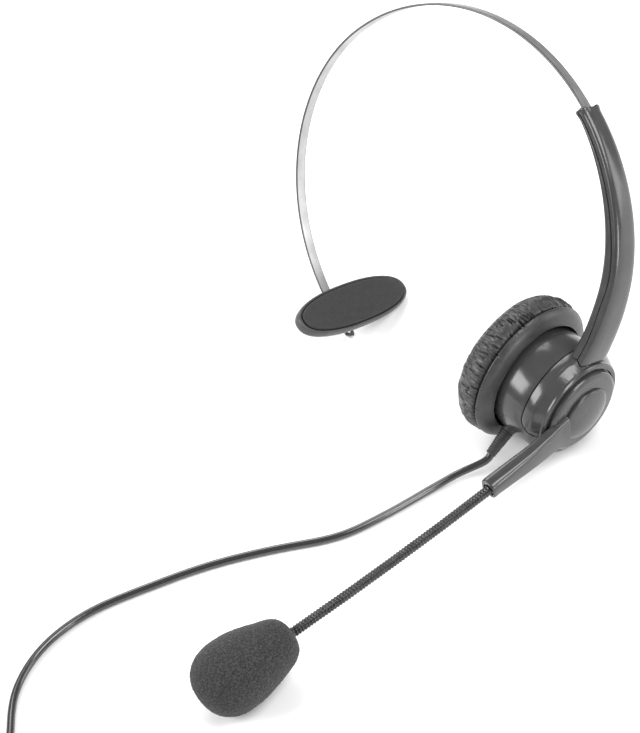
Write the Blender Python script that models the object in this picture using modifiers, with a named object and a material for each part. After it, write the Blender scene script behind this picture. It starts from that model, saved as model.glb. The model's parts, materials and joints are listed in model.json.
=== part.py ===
"""Office headset: one ear cup, a spring steel headband with a temple pad, and a boom microphone.

Lengths are in millimetres and are scaled to metres when a mesh is made.

The headset is modelled in the ear cup's own axes and is then leaned back onto its
support as one piece:
    X  forwards, as the wearer looks
    Y  outwards, along the ear cup's axis, away from the ear
    Z  upwards, square to the other two
The origin of the ear cup's axes is on the cup's axis, where the cushion meets the housing.
"""

import math

import bmesh
import bpy
from mathutils import Matrix, Vector

MM = 0.001
GAP = 0.3                   # clearance between neighbouring pieces

# How the headset stands: on the cushion, the temple pad and the windscreen.
REST_ROLL = math.radians(-8.52)
REST_PITCH = math.radians(-26.348)
REST_PLACE = (-63.888, 60.862, 29.48)

# Ear cup
HOUSING_R = 23.3
CUSHION_HOLE_R = 12.8
SADDLE_FRONT_Y = 13.8       # where the saddle's edge crosses the housing
SADDLE_LOW_Z = -9.5

# Headband: the part that slides in the arm is an arc about this centre
BAND_CENTRE_Y = -69.0
BAND_CENTRE_Z = 30.0
BAND_R = 91.3
BAND_WIDTH = 5.2
BAND_THICK = 0.9
BAND_INNER_DEG = 36.0       # the end inside the arm
BAND_OUTER_DEG = 250.0      # the end under the temple pad
BAND_TIGHTEN = 15.0         # how much closer to the centre the outer end lies
SLOT_WIDTH = 6.4
SLOT_THICK = 1.6
SLOT_END_DEG = 20.5

# Temple pad
TEMPLE_Y = -106.0
TEMPLE_Z = -36.8
TEMPLE_SLOPE = math.radians(-23.7)
TEMPLE_PIVOT = 3.3          # height of the pad's pin above the band
RIVET_U = 5.3               # the rivet's place along the band from the pin
PAD_LENGTH = 70.5
PAD_WIDTH = 21.0
PAD_YAW = math.radians(5.5)      # the pad is set a little askew on the band
PAD_OFFSET = (-1.2, 1.0)         # and its middle is not quite over the pin

# Boom
BOOM_DROP = math.radians(31.0)
BOOM_Y = 25.0               # plane of the boom's root
NECK_START = 51.5
NECK_PITCH = 23.6
NECK_R = 1.95
NECK_PIECES = 4
FOAM_R = 14.7

# Cord. Its route, its coil and its plug are placed on the table.
CORD_R = 1.6
CORD_Z = CORD_R + 0.05
EXIT_ANGLE = math.radians(-61)      # where the cord leaves the housing, about the cup's axis
EXIT_LEAN = math.radians(-60)       # the way it points
EXIT_Y = 3.4
ROUTE = ((-21.5, 52.2, 3.3), (-8.0, 47.6, 1.8), (12.0, 42.6, CORD_Z), (32.0, 35.3, CORD_Z),
         (52.0, 19.8, CORD_Z), (74.0, 4.9, CORD_Z), (98.0, -7.0, CORD_Z), (122.0, -16.5, CORD_Z),
         (145.0, -17.2, CORD_Z), (165.0, -8.2, CORD_Z), (180.5, 9.2, CORD_Z))
COIL_AT = (186.0, 48.0)
COIL_MEAN_R = 18.0
COIL_HALF_WIDTH = 8.5
COIL_BASE = 1.1
COIL_HIGH = 6.8
COIL_JOIN_R = 24.7          # the cord runs on and off the coil along this circle
COIL_JOIN_RUN = 15.5        # how far from the circle the straight runs stop
COIL_IN = math.radians(-41)
COIL_OUT = math.radians(5)
TIE_TURN = math.radians(190)
PLUG_AT = (190.6, 110.2)
PLUG_TURN = math.radians(121)
PLUG_SIZE = (12.3, 7.7, 5.6)
LATCH_RISE = math.radians(13)


# ---------------------------------------------------------------- set-up

def clear_scene():
    for old in list(bpy.data.objects):
        bpy.data.objects.remove(old, do_unlink=True)


def new_collection(name):
    made = bpy.data.collections.new(name)
    bpy.context.scene.collection.children.link(made)
    return made


def new_material(name, colour, roughness, metallic=0.0):
    made = bpy.data.materials.new(name)
    made.use_nodes = True
    shader = made.node_tree.nodes["Principled BSDF"]
    shader.inputs["Base Color"].default_value = (*colour, 1.0)
    shader.inputs["Roughness"].default_value = roughness
    shader.inputs["Metallic"].default_value = metallic
    made.diffuse_color = (*colour, 1.0)
    return made


clear_scene()
PARTS = new_collection("office_headset")
CUTTERS = new_collection("cutters")

FINISHES = {
    "gloss": ((0.045, 0.047, 0.05), 0.22),
    "satin": ((0.05, 0.05, 0.052), 0.45),
    "leather": ((0.03, 0.03, 0.032), 0.5),
    "pad": ((0.06, 0.06, 0.063), 0.7),
    "foam": ((0.035, 0.035, 0.036), 0.95),
    "rubber": ((0.02, 0.02, 0.021), 0.6),
    "cloth": ((0.02, 0.02, 0.02), 0.9),
    "steel": ((0.75, 0.75, 0.76), 0.25, 1.0),
    "dark_steel": ((0.18, 0.18, 0.19), 0.35, 1.0),
    "brass": ((0.75, 0.6, 0.25), 0.3, 1.0),
    "magnet": ((0.2, 0.2, 0.21), 0.4, 1.0),
    "film": ((0.6, 0.55, 0.4), 0.35),
    "copper": ((0.7, 0.35, 0.2), 0.35, 1.0),
    "board": ((0.05, 0.22, 0.1), 0.4),
    "clear": ((0.75, 0.78, 0.8), 0.15),
}


# ---------------------------------------------------------------- bodies

BODIES = {}                 # name: the empty on that body's axis


def add_body(name, parent=None, at=(0, 0, 0), turn=(0, 0, 0)):
    """An empty on a joint's axis. at and turn are in the parent's axes, at in millimetres."""
    made = bpy.data.objects.new(name, None)
    made.empty_display_size = 0.01
    PARTS.objects.link(made)
    made.location = Vector(at) * MM
    made.rotation_euler = turn
    if parent:
        made.parent = BODIES[parent]
    BODIES[name] = made
    return made


# ---------------------------------------------------------------- shapes

def keep(obj, name, finish, body, at=(0, 0, 0), turn=(0, 0, 0)):
    """Name a finished shape, give it its finish and hang it on its body."""
    obj.name = name
    obj.data.name = name
    colour, roughness, *metallic = FINISHES[finish]
    obj.data.materials.clear()
    obj.data.materials.append(new_material(name, colour, roughness, *metallic))
    obj.location = Vector(at) * MM
    obj.rotation_euler = turn
    obj.parent = BODIES[body]
    return obj


def link(mesh, group):
    obj = bpy.data.objects.new(mesh.name, mesh)
    group.objects.link(obj)
    return obj


def from_bmesh(bm, group, smooth_deg=40):
    bmesh.ops.recalc_face_normals(bm, faces=bm.faces)
    mesh = bpy.data.meshes.new("shape")
    bm.to_mesh(mesh)
    bm.free()
    mesh.shade_smooth()
    mesh.set_sharp_from_angle(angle=math.radians(smooth_deg))
    return link(mesh, group)


def as_cutter(obj):
    obj.hide_render = True
    obj.display_type = "WIRE"
    return obj


def turned(profile, steps=32, loop=True, group=PARTS):
    """Turn a profile of (radius, height) points about Z. It runs down its outer side."""
    mesh = bpy.data.meshes.new("shape")
    count = len(profile)
    edges = [(i, i + 1) for i in range(count - 1)]
    if loop:
        edges.append((count - 1, 0))
    mesh.from_pydata([(r * MM, 0, z * MM) for r, z in profile], edges, [])
    obj = link(mesh, group)
    screw = obj.modifiers.new("turn", "SCREW")
    screw.axis = "Z"
    screw.steps = steps
    screw.render_steps = steps
    screw.use_merge_vertices = True
    screw.merge_threshold = 0.00001
    screw.use_smooth_shade = True
    return obj


def box(size, bevel=0.0, segments=2, group=PARTS):
    bm = bmesh.new()
    bmesh.ops.create_cube(bm, size=1.0, matrix=Matrix.Diagonal((*(Vector(size) * MM), 1.0)))
    obj = from_bmesh(bm, group)
    if bevel:
        mod = obj.modifiers.new("round", "BEVEL")
        mod.width = bevel * MM
        mod.segments = segments
    return obj


def rod(radius, length, sides=20, group=PARTS):
    """A plain cylinder about Z, centred."""
    bm = bmesh.new()
    bmesh.ops.create_cone(bm, cap_ends=True, segments=sides, radius1=radius * MM,
                          radius2=radius * MM, depth=length * MM)
    return from_bmesh(bm, group)


def loft(sections, group=PARTS, smooth_deg=40):
    """Skin a run of sections, each a ring of points in millimetres, and cap both ends."""
    bm = bmesh.new()
    rings = [[bm.verts.new(Vector(p) * MM) for p in ring] for ring in sections]
    sides = len(rings[0])
    for low, high in zip(rings, rings[1:]):
        for i in range(sides):
            j = (i + 1) % sides
            bm.faces.new((low[i], low[j], high[j], high[i]))
    bm.faces.new(rings[0])
    bm.faces.new(rings[-1])
    return from_bmesh(bm, group, smooth_deg)


def boolean(obj, other, operation="DIFFERENCE"):
    mod = obj.modifiers.new(operation.lower(), "BOOLEAN")
    mod.operation = operation
    mod.solver = "EXACT"
    mod.object = other
    return obj


def tube(points, radius, group=PARTS):
    """A round wire through points."""
    curve = bpy.data.curves.new("wire", "CURVE")
    curve.dimensions = "3D"
    curve.bevel_depth = radius * MM
    curve.bevel_resolution = 2
    curve.use_fill_caps = True
    spline = curve.splines.new("POLY")
    spline.points.add(len(points) - 1)
    for spot, point in zip(spline.points, points):
        spot.co = (*(Vector(point) * MM), 1.0)
    obj = bpy.data.objects.new("wire", curve)
    group.objects.link(obj)
    return obj


def as_mesh(wire):
    """Swap a wire's curve for the mesh it makes, with its caps welded on."""
    bpy.context.view_layer.update()
    graph = bpy.context.evaluated_depsgraph_get()
    mesh = bpy.data.meshes.new_from_object(wire.evaluated_get(graph))
    bm = bmesh.new()
    bm.from_mesh(mesh)
    bmesh.ops.remove_doubles(bm, verts=bm.verts, dist=0.00001)
    bm.to_mesh(mesh)
    bm.free()
    made = link(mesh, wire.users_collection[0])
    made.matrix_world = wire.matrix_world
    bpy.data.objects.remove(wire, do_unlink=True)
    return made


def smooth_path(points, count):
    """Points along a Catmull-Rom curve through the given ones, evenly shared between them."""
    pts = [Vector(p) for p in points]
    pts = [2 * pts[0] - pts[1]] + pts + [2 * pts[-1] - pts[-2]]
    spans = len(pts) - 3
    out = []
    for i in range(count):
        t = i / (count - 1) * spans
        k = min(int(t), spans - 1)
        u = t - k
        a, b, c, d = pts[k:k + 4]
        out.append(0.5 * (2 * b + (c - a) * u + (2 * a - 5 * b + 4 * c - d) * u ** 2
                          + (3 * b - a - 3 * c + d) * u ** 3))
    return out


def rounded_section(half_a, half_b, corner, per_corner=3):
    """A rectangle with round corners, as (a, b) points."""
    ring = []
    for k, (sa, sb) in enumerate(((1, 1), (-1, 1), (-1, -1), (1, -1))):
        for i in range(per_corner):
            turn = math.radians(90 * k + 90 * i / (per_corner - 1))
            ring.append((sa * (half_a - corner) + corner * math.cos(turn),
                         sb * (half_b - corner) + corner * math.sin(turn)))
    return ring


def smoothstep(t):
    t = min(max(t, 0.0), 1.0)
    return t * t * (3 - 2 * t)


def interpolate(table, t):
    """Read a table of (t, value, ...) rows, in falling order of t, between its rows."""
    for upper, lower in zip(table, table[1:]):
        if t >= lower[0]:
            u = smoothstep((upper[0] - t) / (upper[0] - lower[0])) * 0.35
            u += 0.65 * (upper[0] - t) / (upper[0] - lower[0])
            return [a + (b - a) * u for a, b in zip(upper[1:], lower[1:])]
    return table[-1][1:]


OUTWARDS = (math.radians(-90), 0, 0)        # turns a piece's own Z to the cup's outward Y


# ---------------------------------------------------------------- ear cup

def make_cushion():
    ring = [(24.0, 0.2), (27.2, -1.8), (29.8, -4.6), (30.8, -7.9), (30.7, -11.4), (29.6, -14.6),
            (27.3, -17.4), (24.4, -18.2), (19.6, -18.2), (16.0, -16.6), (13.6, -13.4),
            (CUSHION_HOLE_R, -10.0), (13.4, -7.2), (15.0, -6.4), (23.5, -6.2), (23.6, -0.2)]
    keep(turned(ring, steps=40), "ear_cushion", "leather", "headset", turn=OUTWARDS)


def make_baffle():
    profile = [(0, -4.0), (19.2, -4.0), (19.2, -1.2), (20.6, -1.2), (20.6, -3.5),
               (23.0, -3.5), (23.0, -5.3), (0, -5.3)]
    plate = turned(profile, loop=False)
    keep(plate, "speaker_baffle", "satin", "headset", turn=OUTWARDS)
    holes = bmesh.new()
    for k in range(7):
        reach = 7.5 * MM if k else 0.0
        spot = Matrix.Rotation(math.radians(60 * k), 4, "Z") @ Matrix.Translation((reach, 0, 0))
        bmesh.ops.create_cone(holes, cap_ends=True, segments=10, radius1=1.5 * MM,
                              radius2=1.5 * MM, depth=4 * MM,
                              matrix=Matrix.Translation((0, 0, -4.65 * MM)) @ spot)
    cutter = as_cutter(from_bmesh(holes, CUTTERS))
    cutter.parent = BODIES["headset"]
    cutter.rotation_euler = OUTWARDS
    cutter.name = "sound_holes"
    boolean(plate, cutter)
    cloth = [(0, -5.6), (12.3, -5.6), (12.3, -6.1), (0, -6.1)]
    keep(turned(cloth, steps=24, loop=False), "grille_cloth", "cloth", "headset", turn=OUTWARDS)


def make_speaker():
    frame = [(9.6, 3.2), (14.0, 1.4), (17.8, -1.6), (17.8, -3.7), (16.3, -3.7), (16.3, -2.3),
             (13.4, 0.0), (9.6, 1.8)]
    keep(turned(frame, steps=24), "speaker_frame", "satin", "headset", turn=OUTWARDS)
    magnet = [(0, 5.0), (9.0, 5.0), (9.0, -0.9), (7.3, -0.9), (7.3, 2.6), (5.7, 2.6),
              (5.7, -0.9), (0, -0.9)]
    keep(turned(magnet, steps=24, loop=False), "speaker_magnet", "magnet", "headset",
         turn=OUTWARDS)
    coil = [(6.9, 1.8), (6.9, -2.1), (6.2, -2.1), (6.2, 1.8)]
    keep(turned(coil, steps=24), "voice_coil", "copper", "headset", turn=OUTWARDS)
    film = [(0, -1.6), (5.4, -2.4), (8.5, -2.7), (12.0, -2.1), (15.9, -2.8), (15.9, -3.3),
            (12.0, -2.6), (8.5, -3.2), (5.4, -2.9), (0, -2.1)]
    keep(turned(film, steps=24, loop=False), "speaker_diaphragm", "film", "headset",
         turn=OUTWARDS)
    keep(box((13, 1.2, 8), 0.2, 1), "terminal_board", "board", "headset", at=(0, 5.9, 0))


def saddle_blank(grow, group):
    """The shell that wraps the housing's outer end, trimmed to its U-shaped skirt."""
    g = grow
    profile = [(20.9 + g, 22.4 + g), (23.5 + g, 18.4), (23.5 + g, 12.0 - g), (21.9 - g, 12.0 - g),
               (21.9 - g, 19.9), (20.2 - g, 21.6 - g)]
    shell = turned(profile, steps=40, group=group)
    low_y = SADDLE_FRONT_Y - g
    low_z = SADDLE_LOW_Z - g
    trim = box((60, 20, 50), group=CUTTERS)
    trim.data.transform(Matrix.Translation(Vector((0, low_y + 10, low_z + 25)) * MM))
    round_off = trim.modifiers.new("round", "BEVEL")
    round_off.width = 5.5 * MM
    round_off.segments = 4
    round_off.limit_method = "WEIGHT"
    weights = trim.data.attributes.new("bevel_weight_edge", "FLOAT", "EDGE")
    for edge in trim.data.edges:
        ends = [trim.data.vertices[i].co for i in edge.vertices]
        on_corner = all(abs(p.y - low_y * MM) < 1e-6 and abs(p.z - low_z * MM) < 1e-6
                        for p in ends)
        weights.data[edge.index].value = 1.0 if on_corner else 0.0
    as_cutter(trim)
    trim.name = "saddle_trim"
    trim.parent = BODIES["headset"]
    shell.parent = BODIES["headset"]
    shell.rotation_euler = OUTWARDS
    boolean(shell, trim, "INTERSECT")
    return shell


def make_housing():
    shell = [(19.8, 21.2), (HOUSING_R, 18.0), (HOUSING_R, -3.2), (21.0, -3.2), (21.0, 10.2),
             (19.2, 12.0), (19.2, 18.4), (4.3, 18.4), (4.3, 21.2)]
    housing = keep(turned(shell, steps=40), "ear_housing", "gloss", "headset", turn=OUTWARDS)
    recess = as_cutter(saddle_blank(GAP, CUTTERS))
    recess.name = "saddle_recess"
    boolean(housing, recess)
    cord_hole = as_cutter(rod(3.1, 16, 16, CUTTERS))
    cord_hole.name = "cord_hole"
    place_on_cord_exit(cord_hole, 0.0)
    boolean(housing, cord_hole)


def make_collar():
    """The collar that the boom turns on, one piece with the saddle."""
    face = [(20.6, 23.2), (21.3, 22.6), (21.3, 21.6), (4.3, 21.6), (4.3, 22.2), (19.0, 22.2),
            (19.0, 23.2)]
    collar = keep(turned(face, steps=40), "swivel_collar", "gloss", "headset", turn=OUTWARDS)
    saddle = as_cutter(saddle_blank(0.0, CUTTERS))
    saddle.name = "saddle"
    boolean(collar, saddle, "UNION")


# ---------------------------------------------------------------- slider arm

# degrees about the band's centre, inner radius, split radius, outer radius, width
ARM_STATIONS = (
    (60.5, 89.2, 90.35, 94.0, 10.0),
    (56.0, 89.0, 90.35, 94.1, 10.0),
    (45.0, 88.2, 90.35, 94.1, 10.9),
    (30.0, 87.1, 90.35, 93.9, 12.2),
    (19.0, 86.0, 90.2, 93.4, 13.0),
    (10.0, 84.9, 88.2, 92.5, 13.9),
    (0.0, 83.9, 87.6, 91.6, 15.0),
    (-7.0, 83.6, 87.4, 91.3, 16.8),
)


def arm_point(deg, radius, x):
    turn = math.radians(deg)
    return (x, BAND_CENTRE_Y + radius * math.cos(turn), BAND_CENTRE_Z + radius * math.sin(turn))


def arm_stations(steps):
    first, last = ARM_STATIONS[0][0], ARM_STATIONS[-1][0]
    for i in range(steps + 1):
        deg = first + (last - first) * i / steps
        yield (deg, *interpolate(ARM_STATIONS, deg))


def collar_clearance():
    """What the arm's foot leaves free around the saddle and the collar."""
    profile = [(0, 26.0), (21.7, 26.0), (21.7, 22.5), (23.9, 18.6), (23.9, 8.0), (0, 8.0)]
    cutter = as_cutter(turned(profile, steps=40, loop=False, group=CUTTERS))
    cutter.name = "collar_clearance"
    cutter.parent = BODIES["headset"]
    cutter.rotation_euler = OUTWARDS
    return cutter


def band_slot():
    """The slot that the band slides in, open at the arm's top."""
    sections = []
    for i in range(17):
        deg = SLOT_END_DEG + (63.0 - SLOT_END_DEG) * i / 16
        half = SLOT_WIDTH / 2
        low, high = BAND_R - SLOT_THICK, BAND_R + SLOT_THICK / 2
        sections.append([arm_point(deg, r, x) for r, x in
                         ((low, -half), (high, -half), (high, half), (low, half))])
    cutter = as_cutter(loft(sections, CUTTERS))
    cutter.name = "band_slot"
    cutter.parent = BODIES["headset"]
    return cutter


def radial_rod(name, deg, radius, low, high, sides=16):
    """A round bar that points at the band's centre, between two radii of the arm."""
    bar = rod(radius, high - low, sides, CUTTERS)
    put_radially(bar, deg, (low + high) / 2)
    bar.name = name
    return as_cutter(bar)


def put_radially(obj, deg, radius):
    obj.location = Vector(arm_point(deg, radius, 0)) * MM
    obj.rotation_euler = (math.radians(deg - 90), 0, 0)
    obj.parent = BODIES["headset"]


def make_arm():
    outer, inner = [], []
    for deg, low, split, high, width in arm_stations(22):
        half = width / 2
        edge = high - 1.9
        crown = [(half - 0.25, split + GAP / 2), (half, split + 0.9), (half, edge),
                 (0.86 * half, edge + 0.9), (0.55 * half, edge + 1.55), (0, high),
                 (-0.55 * half, edge + 1.55), (-0.86 * half, edge + 0.9), (-half, edge),
                 (-half, split + 0.9), (-half + 0.25, split + GAP / 2)]
        outer.append([arm_point(deg, r, x) for x, r in crown])
        base = split - GAP / 2
        rim = low + 0.35 * (base - low)
        lid = [(-half + 0.25, base), (-half, rim), (-half + 0.9, low), (half - 0.9, low),
               (half, rim), (half - 0.25, base)]
        inner.append([arm_point(deg, r, x) for x, r in lid])
    shell = keep(loft(outer), "arm_shell", "gloss", "headset")
    cover = keep(loft(inner), "arm_cover", "gloss", "headset")
    slot = band_slot()
    clear = collar_clearance()
    for piece in (shell, cover):
        boolean(piece, slot)
        boolean(piece, clear)
    for name, deg in (("arm_screw_upper", 14.0), ("arm_screw_lower", 4.0)):
        low = interpolate(ARM_STATIONS, deg)[0]
        hole = radial_rod(name + "_hole", deg, 1.3, low - 2, low + 6.0)
        sink = radial_rod(name + "_sink", deg, 2.5, low - 2, low + 2.5)
        boolean(cover, hole)
        boolean(cover, sink)
        boolean(shell, hole)
        screw = turned([(0, 5.6), (1.0, 5.0), (1.0, 2.2), (2.15, 2.2), (2.15, 1.0),
                        (1.6, 0.6), (0, 0.6)], steps=16, loop=False)
        keep(screw, name, "dark_steel", "headset")
        put_radially(screw, deg, low)
        drive = box((0.5, 2.6, 1.2), group=CUTTERS)
        drive.data.transform(Matrix.Translation((0, 0, 0.6 * MM)))
        put_radially(as_cutter(drive), deg, low)
        drive.name = name + "_drive"
        boolean(screw, drive)


def make_detent_spring():
    """A bowed leaf under the band, which gives the slider its grip."""
    sections = []
    for i in range(11):
        deg = 31.0 + i * 1.2
        rise = 0.75 * math.sin(math.pi * i / 10) ** 2
        low = BAND_R - SLOT_THICK + 0.12 + rise * 0.25
        sections.append([arm_point(deg, r, x) for r, x in
                         ((low, -2.2), (low + 0.25, -2.2), (low + 0.25, 2.2), (low, 2.2))])
    keep(loft(sections), "detent_spring", "steel", "headset")


# ---------------------------------------------------------------- headband

def band_radius(deg):
    """The band is an arc where it slides and draws in towards the temple pad."""
    return BAND_R - BAND_TIGHTEN * smoothstep((deg - 143.0) / 110.0)


def band_point(deg, lift=0.0, x=0.0):
    """A point in the headband's own axes, whose origin is the band's centre."""
    turn = math.radians(deg)
    step = math.radians(0.5)
    here, ahead = band_radius(deg), band_radius(deg + 0.5)
    spot = Vector((math.cos(turn), math.sin(turn))) * here
    along = Vector((math.cos(turn + step), math.sin(turn + step))) * ahead - spot
    normal = Vector((along.y, -along.x)).normalized()
    spot += normal * lift
    return (x, spot.x, spot.y)


def make_headband():
    sections = []
    steps = 54
    half_t = BAND_THICK / 2
    for i in range(steps + 1):
        deg = BAND_INNER_DEG + (BAND_OUTER_DEG - BAND_INNER_DEG) * i / steps
        narrow = 1.0 if i < steps else 0.55
        half = BAND_WIDTH / 2 * narrow
        ring = ((half, -half_t * 0.6), (half, half_t * 0.6), (half - 0.25, half_t),
                (0.25 - half, half_t), (-half, half_t * 0.6), (-half, -half_t * 0.6),
                (0.25 - half, -half_t), (half - 0.25, -half_t))
        sections.append([band_point(deg, lift, x) for x, lift in ring])
    band = keep(loft(sections), "headband_spring", "steel", "headband")
    for name, spot in (("band_tip_hole", band_point(247.6)),
                       ("band_rivet_hole", temple_spot(0, RIVET_U, 0))):
        hole = as_cutter(rod(1.0, 6, 12, CUTTERS))
        hole.name = name
        hole.parent = BODIES["headband"]
        hole.location = Vector(spot) * MM
        hole.rotation_euler = (TEMPLE_SLOPE, 0, 0)
        boolean(band, hole)


# ---------------------------------------------------------------- temple pad

def pad_outline(scale_x, scale_u, height, points=28):
    """An oval ring, blunter than an ellipse, at one height above the band."""
    ring = []
    for i in range(points):
        turn = 2 * math.pi * i / points
        c, s = math.cos(turn), math.sin(turn)
        spot = Vector((math.copysign(abs(c) ** 0.86, c) * PAD_LENGTH / 2 * scale_x,
                       math.copysign(abs(s) ** 0.86, s) * PAD_WIDTH / 2 * scale_u,
                       height - TEMPLE_PIVOT))
        ring.append(Matrix.Rotation(PAD_YAW, 3, "Z") @ spot + Vector((*PAD_OFFSET, 0)))
    return ring


def make_temple_pad():
    shell = loft([pad_outline(0.86, 0.70, 5.6), pad_outline(0.95, 0.88, 6.1),
                  pad_outline(0.99, 0.98, 7.0), pad_outline(1.0, 1.0, 8.6)])
    keep(shell, "temple_shell", "satin", "temple")
    lug = rod(1.5, 4.4, 16, CUTTERS)
    lug.data.transform(Matrix.Rotation(math.radians(90), 4, "Y"))
    web = box((4.4, 3.0, 3.0), group=CUTTERS)
    web.data.transform(Matrix.Translation((0, 0, 1.5 * MM)))
    bore = rod(0.85, 8, 12, CUTTERS)
    bore.data.transform(Matrix.Rotation(math.radians(90), 4, "Y"))
    for piece, name, operation in ((lug, "lug", "UNION"), (web, "web", "UNION"),
                                   (bore, "bore", "DIFFERENCE")):
        piece.name = "temple_" + name
        piece.parent = BODIES["temple"]
        boolean(shell, as_cutter(piece), operation)
    pad = loft([pad_outline(0.975, 0.955, 8.9), pad_outline(1.0, 1.0, 9.5),
                pad_outline(0.985, 0.965, 10.6), pad_outline(0.93, 0.86, 11.2),
                pad_outline(0.70, 0.55, 11.5)])
    keep(pad, "temple_cushion", "pad", "temple")
    keep(loft([pad_outline(0.86, 0.72, 8.9), pad_outline(0.86, 0.72, 9.8)]), "temple_plate",
         "steel", "temple")
    room = as_cutter(loft([pad_outline(0.875, 0.76, 8.0), pad_outline(0.875, 0.76, 10.1)],
                          CUTTERS))
    room.name = "temple_plate_room"
    room.parent = BODIES["temple"]
    boolean(pad, room)


def make_temple_bracket():
    """A folded steel clip riveted to the band, whose ears hold the pad's pin."""
    plate = box((8.6, 12.0, 0.7))
    keep(plate, "temple_bracket", "dark_steel", "headband", at=temple_spot(0, 1.5, 1.1),
         turn=(TEMPLE_SLOPE, 0, 0))
    for side in (-1, 1):
        ear = box((1.2, 3.8, 3.7), group=CUTTERS)
        ear.name = "temple_ear"
        ear.parent = BODIES["headband"]
        ear.location = Vector(temple_spot(3.5 * side, 0, 2.9)) * MM
        ear.rotation_euler = (TEMPLE_SLOPE, 0, 0)
        boolean(plate, as_cutter(ear), "UNION")
    across = (0, math.radians(90), 0)
    through = (TEMPLE_SLOPE, 0, 0)
    for name, turn, at, radius, length in (("pin_hole", across, (0, 0, TEMPLE_PIVOT), 0.85, 10),
                                           ("rivet_hole", through, (0, RIVET_U, 1.1), 1.0, 3)):
        hole = as_cutter(rod(radius, length, 12, CUTTERS))
        hole.name = "temple_" + name
        hole.parent = BODIES["headband"]
        hole.location = Vector(temple_spot(*at)) * MM
        hole.rotation_euler = turn
        boolean(plate, hole)
    pin = turned([(0, 4.9), (1.4, 4.9), (1.4, 4.4), (0.65, 4.4), (0.65, -4.9), (0, -4.9)],
                 steps=12, loop=False)
    keep(pin, "temple_pin", "steel", "headband", at=temple_spot(0, 0, TEMPLE_PIVOT),
         turn=(0, math.radians(90), 0))


def make_temple_rivet():
    rivet = turned([(0, 2.3), (1.2, 2.2), (1.6, 1.75), (0.7, 1.75), (0.7, -1.25), (1.6, -1.25),
                    (1.2, -1.7), (0, -1.8)], steps=12, loop=False)
    keep(rivet, "temple_rivet", "steel", "headband", at=temple_spot(0, RIVET_U, 0),
         turn=(TEMPLE_SLOPE, 0, 0))


def temple_spot(x, u, n):
    """A place beside the temple pad, in the headband's axes: u down the band, n off it."""
    c, s = math.cos(TEMPLE_SLOPE), math.sin(TEMPLE_SLOPE)
    return (x, TEMPLE_Y - BAND_CENTRE_Y + u * c - n * s, TEMPLE_Z - BAND_CENTRE_Z + u * s + n * c)


# ---------------------------------------------------------------- boom

def make_hub():
    """The disc that turns on the collar and the tapered root that leaves it."""
    disc = [(13.8, 26.6), (18.3, 24.4), (18.3, 22.5), (3.8, 22.5), (3.8, 24.2), (9.4, 24.2),
            (9.4, 26.6)]
    disc = turned([(r, y - BOOM_Y) for r, y in disc], steps=40)
    hub = keep(disc, "boom_hub", "gloss", "boom", turn=OUTWARDS)
    # X, low and high Y, half height, corner
    stations = ((14.2, 23.4, 26.9, 6.4, 0.8), (20.0, 23.4, 27.7, 5.8, 0.9),
                (30.0, 22.5, 28.0, 5.1, 1.4), (40.0, 21.4, 27.6, 4.5, 2.0),
                (46.4, 20.9, 27.2, 4.0, 2.4))
    sections = []
    for x, low, high, half, corner in stations:
        ring = rounded_section((high - low) / 2, half, corner, 4)
        sections.append([(x, (low + high) / 2 + a - BOOM_Y, b) for a, b in ring])
    root = as_cutter(loft(sections, CUTTERS))
    root.name = "boom_root"
    root.parent = BODIES["boom"]
    tip = rod(3.9, 5.4, 20, CUTTERS)
    tip.data.transform(Matrix.Rotation(math.radians(90), 4, "Y"))
    tip.name = "boom_root_tip"
    tip.parent = BODIES["boom"]
    tip.location = Vector((48.5, NECK_Y[0] - BOOM_Y, 0)) * MM
    boolean(hub, root, "UNION")
    boolean(hub, as_cutter(tip), "UNION")
    cap = [(0, 28.6), (4.5, 28.4), (9.0, 27.9), (13.2, 26.9), (9.1, 26.9), (9.1, 25.4),
           (7.9, 25.4), (7.9, 26.9), (0, 26.9)]
    keep(turned([(r, y - BOOM_Y) for r, y in cap], loop=False), "hub_cap", "gloss", "boom",
         turn=OUTWARDS)
    clip = [(6.4, 25.1), (6.4, 24.5), (3.4, 24.5), (3.4, 25.1)]
    keep(turned(clip, steps=20), "retaining_clip", "steel", "headset", turn=OUTWARDS)
    axle = [(0, 26.2), (3.0, 26.2), (3.0, 16.9), (7.4, 16.9), (7.4, 15.6), (0, 15.6)]
    keep(turned(axle, steps=20, loop=False), "hub_axle", "steel", "headset", turn=OUTWARDS)
    washer = [(7.2, 18.0), (7.2, 17.3), (3.9, 17.3), (3.9, 18.0)]
    keep(turned(washer, steps=20), "friction_washer", "steel", "headset", turn=OUTWARDS)


def neck_y(x):
    """The boom curves in towards the mouth."""
    reach = x - NECK_START
    return 24.2 - 0.055 * reach - 0.0003 * reach ** 2


NECK_Y = [neck_y(NECK_START + NECK_PITCH * k) for k in range(NECK_PIECES + 1)]


def neck_frame(k):
    """Where piece k of the gooseneck starts in the boom's axes, and its turn about Z."""
    x = NECK_START + NECK_PITCH * k
    slope = math.atan2(NECK_Y[min(k, NECK_PIECES - 1) + 1] - NECK_Y[min(k, NECK_PIECES - 1)],
                       NECK_PITCH)
    return x, NECK_Y[k], slope


def make_gooseneck():
    for k in range(NECK_PIECES):
        length = math.hypot(NECK_PITCH, NECK_Y[k + 1] - NECK_Y[k])
        start = 0.0 if k == 0 else GAP
        end = length - (0.0 if k == NECK_PIECES - 1 else GAP)
        piece = turned([(0, end), (NECK_R - 0.25, end), (NECK_R, end - 0.5), (NECK_R, start + 0.5),
                        (NECK_R - 0.25, start), (0, start)], steps=14, loop=False)
        keep(piece, f"gooseneck_{k + 1}", "dark_steel", f"neck_{k + 1}",
             turn=(0, math.radians(90), 0))


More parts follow.
